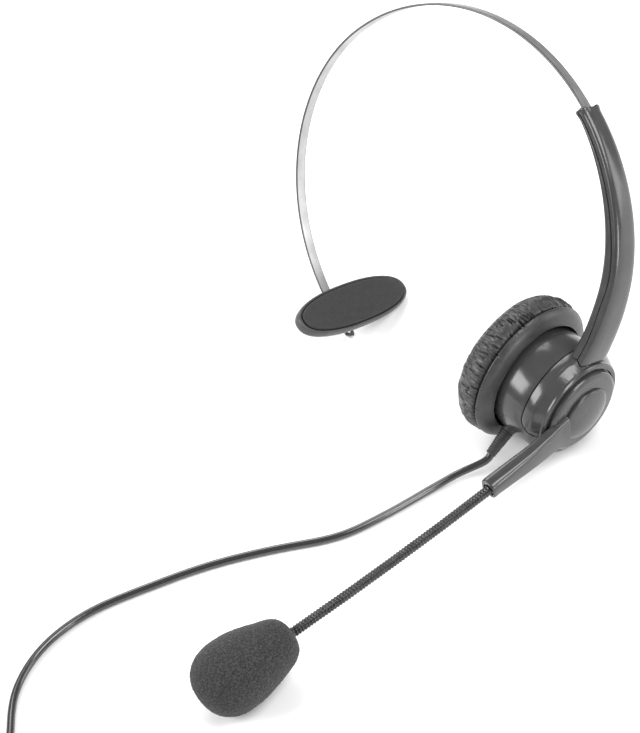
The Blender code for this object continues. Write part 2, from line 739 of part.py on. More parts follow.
def make_microphone():
    length = math.hypot(NECK_PITCH, NECK_Y[-1] - NECK_Y[-2])
    start = length + GAP
    along = (0, math.radians(90), 0)
    shell = [(0, start + 5.0), (3.1, start + 5.0), (3.1, start + 13.0), (3.9, start + 13.0),
             (3.9, start + 2.0), (2.4, start), (0, start)]
    keep(turned(shell, steps=20, loop=False), "mic_housing", "satin", f"neck_{NECK_PIECES}",
         turn=along)
    capsule = [(0, start + 12.4), (2.8, start + 12.4), (2.8, start + 5.3), (0, start + 5.3)]
    keep(turned(capsule, steps=20, loop=False), "mic_capsule", "steel", f"neck_{NECK_PIECES}",
         turn=along)
    outer = [(0.0, 42.6), (5.2, 41.8), (9.6, 39.6), (12.9, 35.6), (14.4, 31.0), (FOAM_R, 26.5),
             (14.3, 21.0), (12.9, 15.0), (11.2, 9.6), (9.6, 5.0), (7.0, 1.4), (4.4, 0.2)]
    bore = [(4.4, 14.0), (0.0, 14.0)]
    profile = [(r, start + z) for r, z in outer + bore]
    keep(turned(profile, steps=24, loop=False), "windscreen", "foam", f"neck_{NECK_PIECES}",
         turn=along)


# ---------------------------------------------------------------- cord

def exit_point(reach):
    base = Vector((math.cos(EXIT_ANGLE), 0, math.sin(EXIT_ANGLE))) * (HOUSING_R - 1.0)
    way = Vector((math.cos(EXIT_LEAN), 0, math.sin(EXIT_LEAN)))
    return base + Vector((0, EXIT_Y, 0)) + way * reach


def place_on_cord_exit(obj, reach):
    obj.location = exit_point(reach) * MM
    obj.rotation_euler = (0, math.radians(90) - EXIT_LEAN, 0)
    obj.parent = BODIES["headset"]


def make_strain_relief():
    """A ribbed rubber sleeve, with a flange inside the housing."""
    profile = [(0, 13.8), (2.0, 13.8)]
    for k in range(4):
        top = 12.6 - 2.4 * k
        r = 2.15 + 0.12 * k
        profile += [(r, top + 0.3), (r, top - 0.9), (r - 0.35, top - 1.1), (r - 0.35, top - 1.9)]
    profile += [(2.75, 2.6), (2.75, -4.0), (0, -4.0)]
    keep(turned(profile, steps=14, loop=False), "strain_relief", "rubber", "headset")
    place_on_cord_exit(bpy.data.objects["strain_relief"], 0.0)


def coil_spot(turn, reach, run):
    """A place beside the coil: on a radius, then along its tangent, counter-clockwise."""
    c, s = math.cos(turn), math.sin(turn)
    return (COIL_AT[0] + reach * c - run * s, COIL_AT[1] + reach * s + run * c, CORD_Z)


def make_cord():
    tip = BODIES["headset"].matrix_world @ (exit_point(14.1) * MM) / MM
    bend = BODIES["headset"].matrix_world @ (exit_point(17.5) * MM) / MM
    run_in = coil_spot(COIL_IN, COIL_JOIN_R, -COIL_JOIN_RUN)
    cord = tube(smooth_path([tip, bend, *ROUTE, run_in], 58), CORD_R)
    keep(as_mesh(cord), "cord", "gloss", "lead")
    run_out = coil_spot(COIL_OUT, COIL_JOIN_R, COIL_JOIN_RUN)
    ahead = Vector((math.cos(PLUG_TURN), math.sin(PLUG_TURN), 0))
    door = Vector((*PLUG_AT, PLUG_SIZE[2] / 2))
    tail = smooth_path([run_out, (204.4, 81.0, CORD_Z), door - ahead * 14 - Vector((0, 0, 0.9)),
                        door - ahead * 5, door, door + ahead * 4.5], 28)
    keep(as_mesh(tube(tail, CORD_R)), "cord_tail", "gloss", "lead")


def make_coil():
    """The rest of the cord, wound flat and tied."""
    low, high = COIL_MEAN_R - COIL_HALF_WIDTH, COIL_MEAN_R + COIL_HALF_WIDTH
    base, top, corner = COIL_BASE, COIL_BASE + COIL_HIGH, CORD_R
    ring = turned([(high - corner, top), (high, top - corner), (high, base + corner),
                   (high - corner, base), (low + corner, base), (low, base + corner),
                   (low, top - corner), (low + corner, top)], steps=36)
    keep(ring, "cord_coil", "gloss", "lead", at=(*COIL_AT, 0))
    wide = 2 * COIL_HALF_WIDTH + 1.4
    tie = box((wide + 1.6, 8.0, top + 1.1), 0.5, 1)
    middle = (top + 1.1) / 2
    hole = box((wide, 12.0, COIL_HIGH + 0.6), group=CUTTERS)
    hole.name = "tie_hole"
    c, s = math.cos(TIE_TURN), math.sin(TIE_TURN)
    reach = COIL_MEAN_R - 0.4
    at = (COIL_AT[0] + reach * c, COIL_AT[1] + reach * s, middle)
    keep(tie, "coil_tie", "cloth", "lead", at=at, turn=(0, 0, TIE_TURN))
    hole.parent = BODIES["lead"]
    hole.location = Vector((at[0], at[1], COIL_BASE - 0.3 + (COIL_HIGH + 0.6) / 2)) * MM
    hole.rotation_euler = (0, 0, TIE_TURN)
    boolean(tie, as_cutter(hole))


def make_plug():
    """A small modular plug that lies with its latch up and its contacts down."""
    long, wide, high = PLUG_SIZE
    body = box(PLUG_SIZE, 0.35, 1)
    keep(body, "plug_body", "clear", "plug", at=(long / 2, 0, high / 2))
    door = rod(2.0, 12.0, 16, CUTTERS)
    door.data.transform(Matrix.Rotation(math.radians(90), 4, "Y"))
    door.name = "plug_door"
    door.parent = BODIES["plug"]
    door.location = Vector((0, 0, high / 2)) * MM
    boolean(body, as_cutter(door))
    for k in range(4):
        across = 1.02 * (k - 1.5)
        slot = box((3.4, 0.72, 3.4), group=CUTTERS)
        slot.name = f"contact_slot_{k + 1}"
        slot.parent = BODIES["plug"]
        slot.location = Vector((long - 2.6, across, 0.9)) * MM
        boolean(body, as_cutter(slot))
        contact = box((2.6, 0.3, 1.7))
        keep(contact, f"plug_contact_{k + 1}", "brass", "plug", at=(long - 2.6, across, 1.35))
    # X, Z of the latch's outline; it is pressed down towards the body
    outline = [(0.45, 0.0), (0.2, 0.42), (-5.6, 0.45), (-9.6, 0.45), (-9.6, -0.1), (-8.9, -0.45),
               (-5.6, -0.45), (0.2, -0.42)]
    latch = loft([[(x, y, z) for x, z in outline] for y in (-1.6, 1.6)])
    keep(latch, "plug_latch", "clear", "latch")


# ---------------------------------------------------------------- assembly

def build():
    add_body("headset", at=REST_PLACE, turn=(REST_ROLL, REST_PITCH, 0))
    add_body("headband", "headset", (0, BAND_CENTRE_Y, BAND_CENTRE_Z))
    add_body("temple", "headband", temple_spot(0, 0, TEMPLE_PIVOT), (TEMPLE_SLOPE, 0, 0))
    add_body("boom", "headset", (0, BOOM_Y, 0), (0, BOOM_DROP, 0))
    for k in range(NECK_PIECES):
        x, y, slope = neck_frame(k)
        add_body(f"neck_{k + 1}", "boom", (x, y - BOOM_Y, 0), (0, 0, slope))
    add_body("lead")
    add_body("plug", "lead", (*PLUG_AT, 0), (0, 0, PLUG_TURN))
    add_body("latch", "plug", (PLUG_SIZE[0] - 0.9, 0, PLUG_SIZE[2] + 0.8), (0, LATCH_RISE, 0))
    bpy.context.view_layer.update()
    make_cushion()
    make_baffle()
    make_speaker()
    make_housing()
    make_collar()
    make_arm()
    make_detent_spring()
    make_headband()
    make_temple_pad()
    make_temple_bracket()
    make_temple_rivet()
    make_hub()
    make_gooseneck()
    make_microphone()
    make_strain_relief()
    make_cord()
    make_coil()
    make_plug()


build()
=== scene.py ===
"""The looks of the office headset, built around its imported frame.

Lengths are in millimetres unless a name or a comment says metres, and are scaled by MM
when a mesh is made. The ear cup's own axes are X forwards, Y outwards along the cup's axis
and Z upwards. A lathe's profile is (radius, height) points about its own Z.
"""

import json
import random
from math import atan2, copysign, cos, degrees, hypot, pi, radians, sin, sqrt, tan

import bmesh
import bpy
import numpy as np
from mathutils import Matrix, Vector, noise


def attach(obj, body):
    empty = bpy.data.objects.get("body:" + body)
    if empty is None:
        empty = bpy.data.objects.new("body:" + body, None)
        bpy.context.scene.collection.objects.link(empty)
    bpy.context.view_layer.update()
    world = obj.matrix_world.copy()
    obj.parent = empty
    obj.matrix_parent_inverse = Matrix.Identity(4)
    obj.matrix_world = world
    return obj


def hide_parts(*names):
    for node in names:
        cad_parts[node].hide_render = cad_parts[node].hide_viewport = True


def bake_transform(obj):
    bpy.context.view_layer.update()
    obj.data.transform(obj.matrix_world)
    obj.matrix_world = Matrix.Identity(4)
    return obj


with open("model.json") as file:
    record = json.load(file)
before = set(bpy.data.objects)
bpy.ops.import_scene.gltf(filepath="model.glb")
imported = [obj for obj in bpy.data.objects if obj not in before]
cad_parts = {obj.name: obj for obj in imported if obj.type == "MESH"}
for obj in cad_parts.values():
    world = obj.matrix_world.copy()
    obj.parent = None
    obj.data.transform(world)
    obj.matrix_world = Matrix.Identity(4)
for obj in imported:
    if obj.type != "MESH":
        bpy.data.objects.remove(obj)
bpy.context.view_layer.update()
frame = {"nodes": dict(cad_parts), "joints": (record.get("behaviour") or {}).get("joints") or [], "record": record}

MM = 0.001
SAME_POINT_M = 1e-7  # points nearer than this are one point
BAND_WIDTH = 5.2

# ---- the frame's axes

JOINTS = {joint["name"]: joint for joint in frame["joints"]}
BOOM_Y = 25.0  # from the cup's origin out to the boom's swivel
TEMPLE_SLOPE = radians(-23.7)
TEMPLE_PIVOT = 3.3  # from the steel band to the temple pad's pin
BOOM_DROP = radians(31.0)
NECK_START = 51.5  # from the swivel to the gooseneck
NECK_START_Y = 24.2
NECK_LEAN = 0.055
NECK_CURVE = 0.0003
NECK_PITCH = 23.6
NECK_PIECES = 4


def joint_at(name):
    """Where a joint is, in world metres."""
    return Vector(JOINTS[name]["pos_m"])


def shift(spot):
    """A move by a spot in millimetres."""
    return Matrix.Translation(Vector(spot) * MM)


AXIS_X = Vector(JOINTS["headband_adjust"]["axis"]).normalized()
AXIS_Y = Vector(JOINTS["boom_swivel"]["axis"]).normalized()
AXIS_Z = AXIS_X.cross(AXIS_Y)
TURN = Matrix((AXIS_X, AXIS_Y, AXIS_Z)).transposed().to_4x4()
CUP = Matrix.Translation(joint_at("boom_swivel") - AXIS_Y * BOOM_Y * MM) @ TURN
BAND = Matrix.Translation(joint_at("headband_adjust")) @ TURN
TEMPLE = (Matrix.Translation(joint_at("temple_tilt")) @ TURN
          @ Matrix.Rotation(TEMPLE_SLOPE, 4, "X"))
BOOM = Matrix.Translation(joint_at("boom_swivel")) @ TURN @ Matrix.Rotation(BOOM_DROP, 4, "Y")
OUTWARDS = Matrix.Rotation(radians(-90), 4, "X")  # a lathe's Z to the cup's Y
FORWARDS = Matrix.Rotation(radians(90), 4, "Y")  # a lathe's Z to the boom's X


def neck_y(x):
    """The gooseneck's height off the cup, on a slight curve towards the mouth."""
    reach = x - NECK_START
    return NECK_START_Y - NECK_LEAN * reach - NECK_CURVE * reach ** 2


def neck_matrix(k):
    """The start of piece k of the gooseneck, with X along it."""
    x = NECK_START + NECK_PITCH * k
    slope = atan2(neck_y(x + NECK_PITCH) - neck_y(x), NECK_PITCH)
    return BOOM @ shift((x, neck_y(x) - BOOM_Y, 0)) @ Matrix.Rotation(slope, 4, "Z")


def neck_length(k):
    """The length of piece k of the gooseneck."""
    x = NECK_START + NECK_PITCH * k
    return hypot(NECK_PITCH, neck_y(x + NECK_PITCH) - neck_y(x))


# ---- camera

def link(data):
    """A new object in the scene that holds this data."""
    obj = bpy.data.objects.new(data.name, data)
    bpy.context.scene.collection.objects.link(obj)
    return obj


CAMERA_AT_M = (0.29472, 0.42425, 0.53487)
CAMERA_TURN_DEG = (46.079, 9.517, 135.847)
CAMERA_LENS = 86.8
CAMERA_SENSOR = 36.0
CAMERA_NEAR_M = 0.05


def add_camera():
    """The camera, at the photo's angle."""
    made = bpy.data.cameras.new("camera")
    made.lens = CAMERA_LENS
    made.sensor_width = CAMERA_SENSOR
    made.clip_start = CAMERA_NEAR_M
    camera = link(made)
    camera.location = CAMERA_AT_M
    camera.rotation_euler = [radians(a) for a in CAMERA_TURN_DEG]
    bpy.context.scene.camera = camera


add_camera()


# ---- materials

class Finish:
    """A Principled material, and short ways to add nodes to it."""

    def __init__(self, name, colour, roughness, metallic=0.0, **sockets):
        self.material = bpy.data.materials.new(name)
        self.material.use_nodes = True
        self.tree = self.material.node_tree
        self.shader = self.tree.nodes["Principled BSDF"]
        self.set("Base Color", (*colour, 1.0))
        self.set("Roughness", roughness)
        self.set("Metallic", metallic)
        for socket, value in sockets.items():
            self.set(socket.replace("_", " "), value)
        self.coords = self.add("TexCoord").outputs["Object"]
        self.normal = None

    def set(self, socket, value):
        self.shader.inputs[socket].default_value = value

    def link(self, out, into):
        self.tree.links.new(out, into)

    def add(self, kind, **inputs):
        """A new node, with the values of its inputs."""
        node = self.tree.nodes.new("ShaderNode" + kind)
        for socket, value in inputs.items():
            node.inputs[socket.replace("_", " ")].default_value = value
        return node

    def scaled(self, scale):
        """The piece's own coordinates, stretched along its axes."""
        mapping = self.add("Mapping", Scale=scale)
        self.link(self.coords, mapping.inputs["Vector"])
        return mapping.outputs["Vector"]

    def noise(self, scale, detail=3.0, roughness=0.55, stretch=(1, 1, 1)):
        node = self.add("TexNoise", Scale=scale, Detail=detail, Roughness=roughness)
        self.link(self.scaled(stretch), node.inputs["Vector"])
        return node.outputs["Fac"]

    def cells(self, scale):
        node = self.add("TexVoronoi", Scale=scale)
        self.link(self.scaled((1, 1, 1)), node.inputs["Vector"])
        return node.outputs["Distance"]

    def bands(self, scale, direction):
        """Slightly uneven stripes, as of threads."""
        node = self.add("TexWave", Scale=scale, Distortion=0.6)
        node.bands_direction = direction
        self.link(self.coords, node.inputs["Vector"])
        return node.outputs["Fac"]

    def join(self, first, second):
        """The product of two patterns."""
        node = self.add("Math")
        node.operation = "MULTIPLY"
        self.link(first, node.inputs[0])
        self.link(second, node.inputs[1])
        return node.outputs["Value"]

    def spread(self, value, low, high, from_low=0.3, from_high=0.7):
        """A pattern's values, stretched from one range to another."""
        node = self.add("MapRange", From_Min=from_low, From_Max=from_high, To_Min=low, To_Max=high)
        self.link(value, node.inputs["Value"])
        return node.outputs["Result"]

    def colours(self, value, low, high, from_low=0.35, from_high=0.65):
        """A base colour that runs from low to high with a pattern."""
        ramp = self.add("ValToRGB")
        ramp.color_ramp.elements[0].position = from_low
        ramp.color_ramp.elements[1].position = from_high
        ramp.color_ramp.elements[0].color = (*low, 1.0)
        ramp.color_ramp.elements[1].color = (*high, 1.0)
        self.link(value, ramp.inputs["Fac"])
        self.link(ramp.outputs["Color"], self.shader.inputs["Base Color"])

    def edge(self, axis, reach_mm, colour):
        """Another colour further out than reach_mm on one of the piece's own axes."""
        blur_mm = 0.05
        colour_a, colour_b, mixed = 6, 7, 2  # the colour sockets of a Mix node
        split = self.add("SeparateXYZ")
        self.link(self.coords, split.inputs["Vector"])
        size = self.add("Math")
        size.operation = "ABSOLUTE"
        self.link(split.outputs[axis], size.inputs[0])
        past = self.spread(size.outputs["Value"], 0.0, 1.0, (reach_mm - blur_mm) * MM,
                           (reach_mm + blur_mm) * MM)
        mix = self.add("Mix")
        mix.data_type = "RGBA"
        self.link(past, mix.inputs["Factor"])
        self.link(self.shader.inputs["Base Color"].links[0].from_socket, mix.inputs[colour_a])
        mix.inputs[colour_b].default_value = (*colour, 1.0)
        self.link(mix.outputs[mixed], self.shader.inputs["Base Color"])

    def rough(self, value, low, high):
        """Roughness that runs from low to high with a pattern."""
        self.link(self.spread(value, low, high), self.shader.inputs["Roughness"])

    def bump(self, value, height_mm, strength=1.0):
        """Fine relief from a pattern, on top of the relief given before."""
        node = self.add("Bump", Strength=strength, Distance=height_mm * MM)
        self.link(value, node.inputs["Height"])
        if self.normal:
            self.link(self.normal, node.inputs["Normal"])
        self.normal = node.outputs["Normal"]
        self.link(self.normal, self.shader.inputs["Normal"])


def dark(level):
    """A near-black grey."""
    return (level, level, level + 0.001)


def noisy(name, colour, roughness, tints, rough, *bumps, **sockets):
    """A finish of noise: tints and rough are (noise, low, high) and a bump (noise, height)."""
    made = Finish(name, colour, roughness, **sockets)
    made.colours(made.noise(*tints[0]), *tints[1:])
    made.rough(made.noise(*rough[0]), *rough[1:])
    for pattern, height_mm in bumps:
        made.bump(made.noise(*pattern), height_mm)
    return made.material


def dark_steel():
    """Blackened steel wire and screws."""
    return noisy("dark_steel", dark(0.07), 0.18, ((500, 4), dark(0.055), dark(0.085)),
                 ((900, 4), 0.12, 0.22), ((2000, 3), 0.004), metallic=0.9)


def satin_plastic():
    """Moulded plastic with a fine spark-eroded grain."""
    made = Finish("satin_plastic", dark(0.045), 0.42)
    made.colours(made.noise(160, 4), dark(0.04), dark(0.05))
    made.rough(made.noise(300, 4), 0.36, 0.5)
    made.bump(made.cells(2600), 0.012, 0.7)
    return made.material


def leatherette():
    """Fine-grained leatherette: small pebbles with pores between them."""
    made = Finish("leatherette", dark(0.028), 0.42, Sheen_Weight=0.05)
    made.colours(made.noise(260, 5), dark(0.024), dark(0.032))
    made.rough(made.noise(520, 4), 0.32, 0.46)
    made.bump(made.noise(600, 4), 0.04, 0.6)
    made.bump(made.cells(1700), 0.03, 0.6)
    return made.material


def pad_skin():
    """Matt rubbery skin with a very fine grain."""
    made = Finish("pad_skin", dark(0.03), 0.62, Sheen_Weight=0.02, Specular_IOR_Level=0.4)
    made.colours(made.noise(420, 6, 0.65), dark(0.02), dark(0.027))
    made.rough(made.noise(700, 4), 0.55, 0.7)
    made.bump(made.cells(3200), 0.02, 0.6)
    made.bump(made.noise(1200, 4), 0.015, 0.5)
    return made.material


def foam():
    """Open-cell foam: thin ribs, with painted shade darkening the pores between them."""
    made = Finish("foam", dark(0.03), 0.95, Sheen_Weight=0.08)
    pores = made.cells(1400)
    fine = made.noise(2400, 5, 0.7)
    painted_pore_shade = made.join(pores, fine)
    # painted shade: the pores, where the bumps sink in, go near black; the fine noise adds random tone
    made.colours(painted_pore_shade, (0.006, 0.006, 0.006), dark(0.044), 0.08, 0.42)
    made.bump(pores, 0.25, 0.9)
    made.bump(fine, 0.12, 0.8)
    return made.material


EDGE_SHADE_REACH = 0.42  # how far the painted shade along the band's edges reaches in


def bright_steel(name="bright_steel", painted_edge_shade=False):
    """Spring steel, finely brushed along its length; the band's copy has painted shade along its edges."""
    made = Finish(name, (0.42, 0.42, 0.42), 0.4, 1.0)
    grain = made.noise(900, 5, 0.6, (1.0, 0.06, 0.06))
    made.colours(made.noise(90, 3), (0.36, 0.36, 0.36), (0.46, 0.46, 0.46))
    if painted_edge_shade:
        # painted shade: the band goes dark near both edges and on the edge faces
        made.edge("X", BAND_WIDTH / 2 - EDGE_SHADE_REACH, (0.1, 0.1, 0.1))
    made.rough(grain, 0.34, 0.48)
    made.bump(grain, 0.006, 0.6)
    return made.material


def black_cloth():
    """Woven black cloth."""
    made = Finish("black_cloth", dark(0.025), 0.9, Sheen_Weight=0.3)
    weave = made.join(made.bands(700, "X"), made.bands(700, "Z"))
    made.colours(made.noise(900, 4), dark(0.018), dark(0.034))
    made.bump(weave, 0.12, 0.8)
    return made.material


def clear_plastic():
    """The plug's clear moulding, a little scuffed."""
    made = Finish("clear_plastic", (0.8, 0.83, 0.85), 0.12, Transmission_Weight=0.75, IOR=1.58)
    made.rough(made.noise(400, 3), 0.08, 0.18)
    made.bump(made.noise(300, 2), 0.01)
    return made.material


def simple(name, low, high, roughness, metallic=0.0, scale=400):
    """A finish for a piece that is mostly hidden inside."""
    return noisy(name, low, roughness, ((scale, 4), low, high),
                 ((scale * 2, 3), roughness * 0.85, roughness * 1.15), ((scale * 3, 3), 0.01),
                 metallic=metallic)


LOOKS = {
    # moulded, with a faint orange-peel and rubbed patches
    "gloss_black": noisy("gloss_plastic", dark(0.039), 0.2, ((90, 4), dark(0.035), dark(0.043)),
                         ((260, 5, 0.6), 0.15, 0.24), ((900, 2), 0.004), ((160, 2), 0.012)),
    "satin_black": satin_plastic(),
    "leatherette": leatherette(),
    "temple_pad": pad_skin(),
    "foam": foam(),
    "black_rubber": noisy("black_rubber", dark(0.03), 0.5, ((400, 4), dark(0.026), dark(0.036)),
                          ((600, 4), 0.42, 0.58), ((2400, 3), 0.015)),
    "black_cloth": black_cloth(),
    "band_steel": bright_steel(),
    "black_steel": dark_steel(),
    "gooseneck_steel": dark_steel(),
    "magnet_steel": simple("magnet_steel", (0.3, 0.3, 0.31), (0.42, 0.42, 0.43), 0.35, 1.0),
    "copper_wire": simple("copper_wire", (0.6, 0.26, 0.13), (0.75, 0.36, 0.2), 0.3, 1.0, 2500),
    "speaker_film": simple("speaker_film", (0.5, 0.44, 0.3), (0.62, 0.56, 0.42), 0.3),
    "circuit_board": simple("circuit_board", (0.02, 0.16, 0.06), (0.04, 0.24, 0.1), 0.35),
    "cord_jacket": noisy("cord_skin", dark(0.02), 0.16, ((900, 3), dark(0.018), dark(0.023)),
                         ((500, 4), 0.13, 0.22), ((1600, 3), 0.004), Coat_Weight=0.6,
                         Coat_Roughness=0.08),
    "clear_plastic": clear_plastic(),
    "gold_contact": noisy("gold", (0.83, 0.62, 0.27), 0.25,
                          ((900, 4), (0.72, 0.52, 0.2), (0.88, 0.68, 0.32)),
                          ((1500, 3), 0.18, 0.34), metallic=1.0),
}


# ---- shapes

def shade(obj, sharp_deg=35):
    """Smooth shading, apart from edges sharper than an angle."""
    obj.data.shade_smooth()
    obj.data.set_sharp_from_angle(angle=radians(sharp_deg))


def skin(rings, cap=True, loop=False, sharp_deg=35):
    """A mesh through rings of points in millimetres, closed at its ends or into a loop."""
    rings = np.asarray(rings, float) * MM
    count, sides = rings.shape[:2]
    here = np.arange(count * sides).reshape(count, sides)
    if loop:
        here = np.vstack([here, here[:1]])
    here = np.hstack([here, here[:, :1]])
    quads = np.stack([here[:-1, :-1], here[:-1, 1:], here[1:, 1:], here[1:, :-1]], -1)
    faces = quads.reshape(-1, 4).tolist()
    if cap and not loop:
        faces.append(list(range(sides)))
        faces.append(list(range((count - 1) * sides, count * sides)))
    mesh = bpy.data.meshes.new("piece")
    mesh.from_pydata(rings.reshape(-1, 3).tolist(), [], faces)
    bm = bmesh.new()
    bm.from_mesh(mesh)
    bmesh.ops.remove_doubles(bm, verts=bm.verts, dist=SAME_POINT_M)
    bmesh.ops.dissolve_degenerate(bm, edges=bm.edges, dist=SAME_POINT_M)
    bmesh.ops.recalc_face_normals(bm, faces=bm.faces)
    bm.to_mesh(mesh)
    bm.free()
    obj = link(mesh)
    shade(obj, sharp_deg)
    return obj


def fillet(points, radius, closed=True, segments=4):
    """The same outline with each corner rounded, as far as its sides allow."""
    shortest, most_of_side = 1e-6, 0.45
    pts = [Vector(p) for p in points]
    out = []
    for i, here in enumerate(pts):
        back, ahead = pts[i - 1] - here, pts[(i + 1) % len(pts)] - here
        is_end = not closed and i in (0, len(pts) - 1)
        if is_end or min(back.length, ahead.length) < shortest:
            out.append(here)
            continue
        turn = pi - back.angle(ahead)
        reach = min(radius * tan(turn / 2), most_of_side * back.length,
                    most_of_side * ahead.length)
        start, end = here + back.normalized() * reach, here + ahead.normalized() * reach
        for k in range(segments + 1):
            t = k / segments
            out.append(start * (1 - t) ** 2 + here * 2 * t * (1 - t) + end * t ** 2)
    return [tuple(p) for p in out]


def lathe(profile, steps=128, closed=True, sharp_deg=40):
    """Turn (radius, height) points about Z. An open profile starts and ends on the axis."""
    turn = np.linspace(0, 2 * pi, steps, endpoint=False)
    rings = [np.stack([r * np.cos(turn), r * np.sin(turn), np.full(steps, z)], -1)
             for r, z in profile]
    return skin(rings, cap=False, loop=closed, sharp_deg=sharp_deg)


def catmull(points, count, closed=False):
    """Points along a smooth curve through the given ones, evenly shared between them."""
    pts = [Vector(p) for p in points]
    if closed:
        pts = [pts[-1]] + pts + pts[:2]
    else:
        pts = [2 * pts[0] - pts[1]] + pts + [2 * pts[-1] - pts[-2]]
    spans = len(pts) - 3
    out = []
    for i in range(count):
        t = i / (count if closed else count - 1) * spans
        k = min(int(t), spans - 1)
        u = t - k
        a, b, c, d = pts[k:k + 4]
        out.append(0.5 * (2 * b + (c - a) * u + (2 * a - 5 * b + 4 * c - d) * u ** 2
                          + (3 * b - a - 3 * c + d) * u ** 3))
    return out


def rounded_section(half_a, half_b, corner, per_corner=9):
    """Points round a rectangle with rounded corners, about its middle."""
    ring = []
    for k, (sa, sb) in enumerate(((1, 1), (-1, 1), (-1, -1), (1, -1))):
        for i in range(per_corner):
            turn = radians(90 * k + 90 * i / (per_corner - 1))
            ring.append((sa * (half_a - corner) + corner * cos(turn),
                         sb * (half_b - corner) + corner * sin(turn)))
    return ring


def box(size, at=(0, 0, 0)):
    """A plain block, for cutting and joining."""
    bm = bmesh.new()
    place = shift(at) @ Matrix.Diagonal((*(Vector(size) * MM), 1.0))
    bmesh.ops.create_cube(bm, size=1.0, matrix=place)
    mesh = bpy.data.meshes.new("box")
    bm.to_mesh(mesh)
    bm.free()
    return link(mesh)


def bar(radius, low, high, sides=48):
    """A plain cylinder about Z between two heights."""
    return lathe([(0, high), (radius, high), (radius, low), (0, low)], sides, closed=False)


def cut(obj, other, operation="DIFFERENCE"):
    """Cut obj by another shape, join them or keep what they share, and drop the other."""
    mod = obj.modifiers.new("cut", "BOOLEAN")
    mod.operation = operation
    mod.solver = "EXACT"
    mod.object = other
    bake(obj)
    bpy.data.objects.remove(other, do_unlink=True)


def drill(obj, place, radius, low, high, operation="DIFFERENCE"):
    """Cut a round hole in an object, or join a round bar to it."""
    tool = bar(radius, low, high)
    tool.data.transform(place)
    cut(obj, tool, operation)


def bake(obj, sharp_deg=35):
    """Make an object's modifiers part of its mesh."""
    bpy.context.view_layer.update()
    graph = bpy.context.evaluated_depsgraph_get()
    mesh = bpy.data.meshes.new_from_object(obj.evaluated_get(graph))
    obj.modifiers.clear()
    obj.data = mesh
    shade(obj, sharp_deg)


SOFTEN_FROM = radians(32)
SOFTENED_SHARP_DEG = 50


def soften(obj, width, segments=2):
    """Round an object's sharp edges."""
    mod = obj.modifiers.new("soften", "BEVEL")
    mod.width = width * MM
    mod.segments = segments
    mod.limit_method = "ANGLE"
    mod.angle_limit = SOFTEN_FROM
    bake(obj, SOFTENED_SHARP_DEG)


def dress(obj, name, slot, body, place, *nodes):
    """Name a piece, put it in place, give it its material and its body, and hide the CAD nodes that it stands in
    for.
    """
    obj.name = name
    obj.data.name = name
    obj.matrix_world = place
    obj.data.materials.clear()
    obj.data.materials.append(LOOKS[slot])
    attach(obj, body)
    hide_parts(*nodes)


def smoothstep(t):
    """0 up to t = 0 and 1 from t = 1, with a smooth rise between."""
    t = min(max(t, 0.0), 1.0)
    return t * t * (3 - 2 * t)


# ---- cord

CORD_R = 1.6
CORD_Z = CORD_R + 0.05  # of its middle, where it lies on the table
CORD_LOOSE_POINTS = 38
CORD_TAIL_POINTS = 20
EXIT_ANGLE = radians(-61)
EXIT_LEAN = radians(-60)
EXIT_Y = 3.4
EXIT_DEPTH = 1.0
HOUSING_R = 23.3
ROUTE = ((-21.5, 52.2, 3.3), (-8.0, 47.6, 1.8), (12.0, 42.6, CORD_Z), (32.0, 35.3, CORD_Z),
         (52.0, 19.8, CORD_Z), (74.0, 4.9, CORD_Z), (98.0, -7.0, CORD_Z), (122.0, -16.5, CORD_Z),
         (145.0, -17.2, CORD_Z), (165.0, -8.2, CORD_Z), (180.5, 9.2, CORD_Z))
COIL_AT = (186.0, 48.0)
COIL_MEAN_R = 18.0
COIL_COLUMNS = 5
COIL_STEP = 3.35  # from one turn to the next, beside it or on it
COIL_LOW_Z = 2.75
COIL_JOIN_R = 24.7
COIL_JOIN_RUN = 15.5
COIL_NEAR_RUN = 7.0
COIL_IN = radians(-41)
COIL_OUT = radians(5)
COIL_STEP_FROM = 0.72  # of each turn, where it steps to the next place
PER_TURN = 20
TIE_TURN = radians(190)
PLUG_AT = (190.6, 110.2)
PLUG_TURN = radians(121)
PLUG_HIGH = 5.6


def exit_point(reach):
    """A point on the cord's way out of the housing, in the cup's axes."""
    base = Vector((cos(EXIT_ANGLE), 0, sin(EXIT_ANGLE))) * (HOUSING_R - EXIT_DEPTH)
    way = Vector((cos(EXIT_LEAN), 0, sin(EXIT_LEAN)))
    return base + Vector((0, EXIT_Y, 0)) + way * reach


def world_mm(place, spot):
    """A point given in a place's own axes, in world millimetres."""
    return (place @ (Vector(spot) * MM)) / MM


def coil_spot(turn, reach, run, height):
    """A point beside the coil's middle, reach out at an angle and run along from there."""
    c, s = cos(turn), sin(turn)
    return Vector((COIL_AT[0] + reach * c - run * s, COIL_AT[1] + reach * s + run * c, height))


def coil_turns():
    """Round and round: inwards along the table, then outwards on top of those turns."""
    half = (COIL_COLUMNS - 1) / 2
    reaches = [COIL_MEAN_R + COIL_STEP * (half - k) for k in range(COIL_COLUMNS)]
    stops = [(reach, COIL_LOW_Z) for reach in reaches]
    stops += [(reach, COIL_LOW_Z + COIL_STEP) for reach in reversed(reaches)]
    whole = len(stops)
    extra = (COIL_OUT - COIL_IN) / (2 * pi)
    count = int((whole - 1 + extra) * PER_TURN) + 1
    points = []
    for i in range(count + 1):
        turns = i / PER_TURN
        k = min(int(turns), whole - 1)
        ahead = min(k + 1, whole - 1)
        late = ((turns - k) - COIL_STEP_FROM) / (1 - COIL_STEP_FROM)
        step = smoothstep(late) if ahead != k else 0.0
        reach, height = (a + (b - a) * step for a, b in zip(stops[k], stops[ahead]))
        points.append(coil_spot(COIL_IN + 2 * pi * turns, reach, 0, height))
    return points


